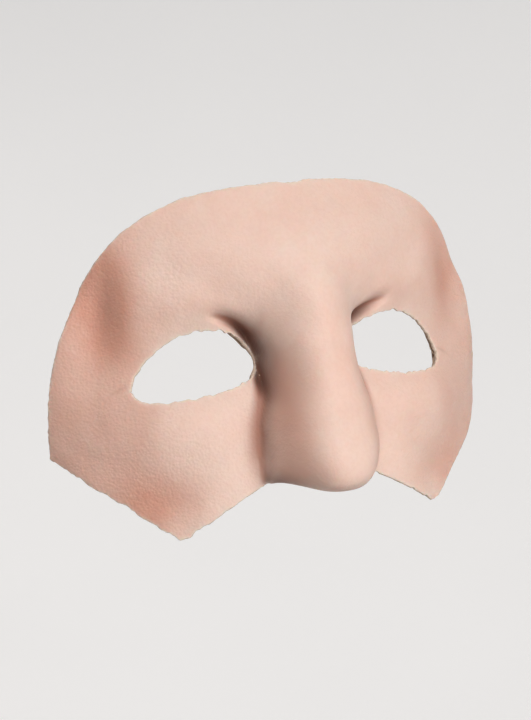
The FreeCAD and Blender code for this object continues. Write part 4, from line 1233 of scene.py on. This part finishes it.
brow_rise = S.top_height - S.brow_pad_drop
make_pad("brow_cushion", 0.0, brow_rise, S.brow_pad_length, S.brow_pad_height,
         S.brow_pad_thickness, 6.0, False, "brow_pad")
for side, mirror in (("left", False), ("right", True)):
    make_pad("cheek_cushion_" + side, S.eye_across + S.cheek_pad_offset,
             S.eye_height - S.cheek_pad_drop, S.cheek_pad_length,
             S.cheek_pad_height, S.cheek_pad_thickness, 5.0, mirror,
             "cheek_pad_" + side)
    patch_place = make_patch(side, mirror)
    make_loop(side, patch_place, mirror)
    make_ring(side, patch_place, mirror)

# ---------------------------------------------------------------- camera, light, stage

view_target = Vector((0, 30 + SHIFT[1], 10 + SHIFT[2])) * MM
VIEW_YAW, VIEW_PITCH, VIEW_ROLL = (math.radians(t) for t in (-23.0, -2.14, 7.14))
PIXELS_PER_MM, FOCAL_PIXELS = 3.377, 1817.0
CENTRE_X, CENTRE_Y = 266.6, 303.24
IMAGE_WIDTH, IMAGE_HEIGHT = 531, 720
SENSOR = 36.0

back = Vector((math.sin(VIEW_YAW) * math.cos(VIEW_PITCH),
               -math.cos(VIEW_YAW) * math.cos(VIEW_PITCH), math.sin(VIEW_PITCH)))
right = Vector((math.cos(VIEW_YAW), math.sin(VIEW_YAW), 0))
up = back.cross(right)
turned_right = right * math.cos(VIEW_ROLL) - up * math.sin(VIEW_ROLL)
turned_up = right * math.sin(VIEW_ROLL) + up * math.cos(VIEW_ROLL)
camera_data = bpy.data.cameras.new("camera")
camera = add_object("camera", camera_data)
camera_place = Matrix((turned_right, turned_up, back)).transposed().to_4x4()
camera_place.translation = view_target + back * (FOCAL_PIXELS / PIXELS_PER_MM * MM)
camera.matrix_world = camera_place
camera_data.sensor_fit = "VERTICAL"
camera_data.sensor_height = SENSOR
camera_data.lens = FOCAL_PIXELS * SENSOR / IMAGE_HEIGHT
camera_data.shift_x = -(CENTRE_X - IMAGE_WIDTH / 2) / IMAGE_HEIGHT
camera_data.shift_y = (CENTRE_Y - IMAGE_HEIGHT / 2) / IMAGE_HEIGHT
camera_data.clip_start = 0.01
bpy.context.scene.camera = camera


def area_light(name, place, energy, size, tint=WHITE):
    data = bpy.data.lights.new(name, "AREA")
    data.energy = energy
    data.size = size
    data.color = tint
    light = add_object(name, data)
    light.location = place
    aim = Vector((0, 0.01, -0.03)) - Vector(place)
    light.rotation_euler = aim.to_track_quat("-Z", "Y").to_euler()


area_light("key", (-0.05, -0.98, 0.27), 6.8, 0.42)
area_light("fill", (0.36, -0.92, -0.06), 2.3, 0.4, (1.0, 0.96, 0.93))
area_light("side", (-0.96, -0.10, 0.06), 0.42, 0.5, (1.0, 0.90, 0.82))
area_light("back", (0.2, 1.4, 1.9), 24.0, 0.9, (1.0, 0.97, 0.94))

world = bpy.data.worlds.new("studio")
world.use_nodes = True
background = world.node_tree.nodes["Background"]
background.inputs["Color"].default_value = (1.0, 0.84, 0.75, 1.0)
background.inputs["Strength"].default_value = 0.26
bpy.context.scene.world = world
bpy.context.scene.view_settings.view_transform = "Standard"


def pale_stage():
    """Floor that sweeps up into the backdrop on every side, seen pale and still shadowed."""
    m = Nodes("pale_paper")
    paper = m.mix(m.ramp(m.noise(3, 3.0), 0.3, 0.7), PAPER_DARK, PAPER_LIGHT)
    m.finish(paper, 0.9, specular=0.1)
    shown = m.new("ShaderNodeLightPath")
    seen = m.math("MAXIMUM", shown.outputs["Is Camera Ray"], shown.outputs["Is Glossy Ray"])
    seen = m.math("MAXIMUM", seen, shown.outputs["Is Transmission Ray"])
    m.link(WHITE, m.shader.inputs["Emission Color"])
    m.link(m.times(seen, 0.50), m.shader.inputs["Emission Strength"])
    return m.material


FLOOR_HEIGHT, SWEEP_START, SWEEP_RADIUS, BACKDROP_HEIGHT = -0.5, 0.7, 2.2, 3.5
SWEEP_SIDES, SWEEP_STEPS = 128, 48


def make_stage():
    """Round floor whose rim bends up into the backdrop."""
    path = [(0.0, FLOOR_HEIGHT), (SWEEP_START, FLOOR_HEIGHT)]
    for step in range(1, SWEEP_STEPS + 1):
        turn = math.radians(90 * step / SWEEP_STEPS)
        path.append((SWEEP_START + SWEEP_RADIUS * math.sin(turn),
                     FLOOR_HEIGHT + SWEEP_RADIUS * (1 - math.cos(turn))))
    path.append((SWEEP_START + SWEEP_RADIUS, BACKDROP_HEIGHT))
    verts, faces = [], []
    for reach, height in path[1:]:
        for k in range(SWEEP_SIDES):
            turn = 2 * math.pi * k / SWEEP_SIDES
            verts.append((reach * math.cos(turn), reach * math.sin(turn), height))
    faces.append(tuple(range(SWEEP_SIDES)))
    for level in range(len(path) - 2):
        for k in range(SWEEP_SIDES):
            a, b = level * SWEEP_SIDES + k, level * SWEEP_SIDES + (k + 1) % SWEEP_SIDES
            faces.append((a, a + SWEEP_SIDES, b + SWEEP_SIDES, b))
    mesh = bpy.data.meshes.new("stage")
    mesh.from_pydata(verts, [], faces)
    mesh.polygons.foreach_set("use_smooth", np.ones(len(mesh.polygons), bool))
    mesh.materials.append(pale_stage())
    add_object("stage", mesh)


make_stage()
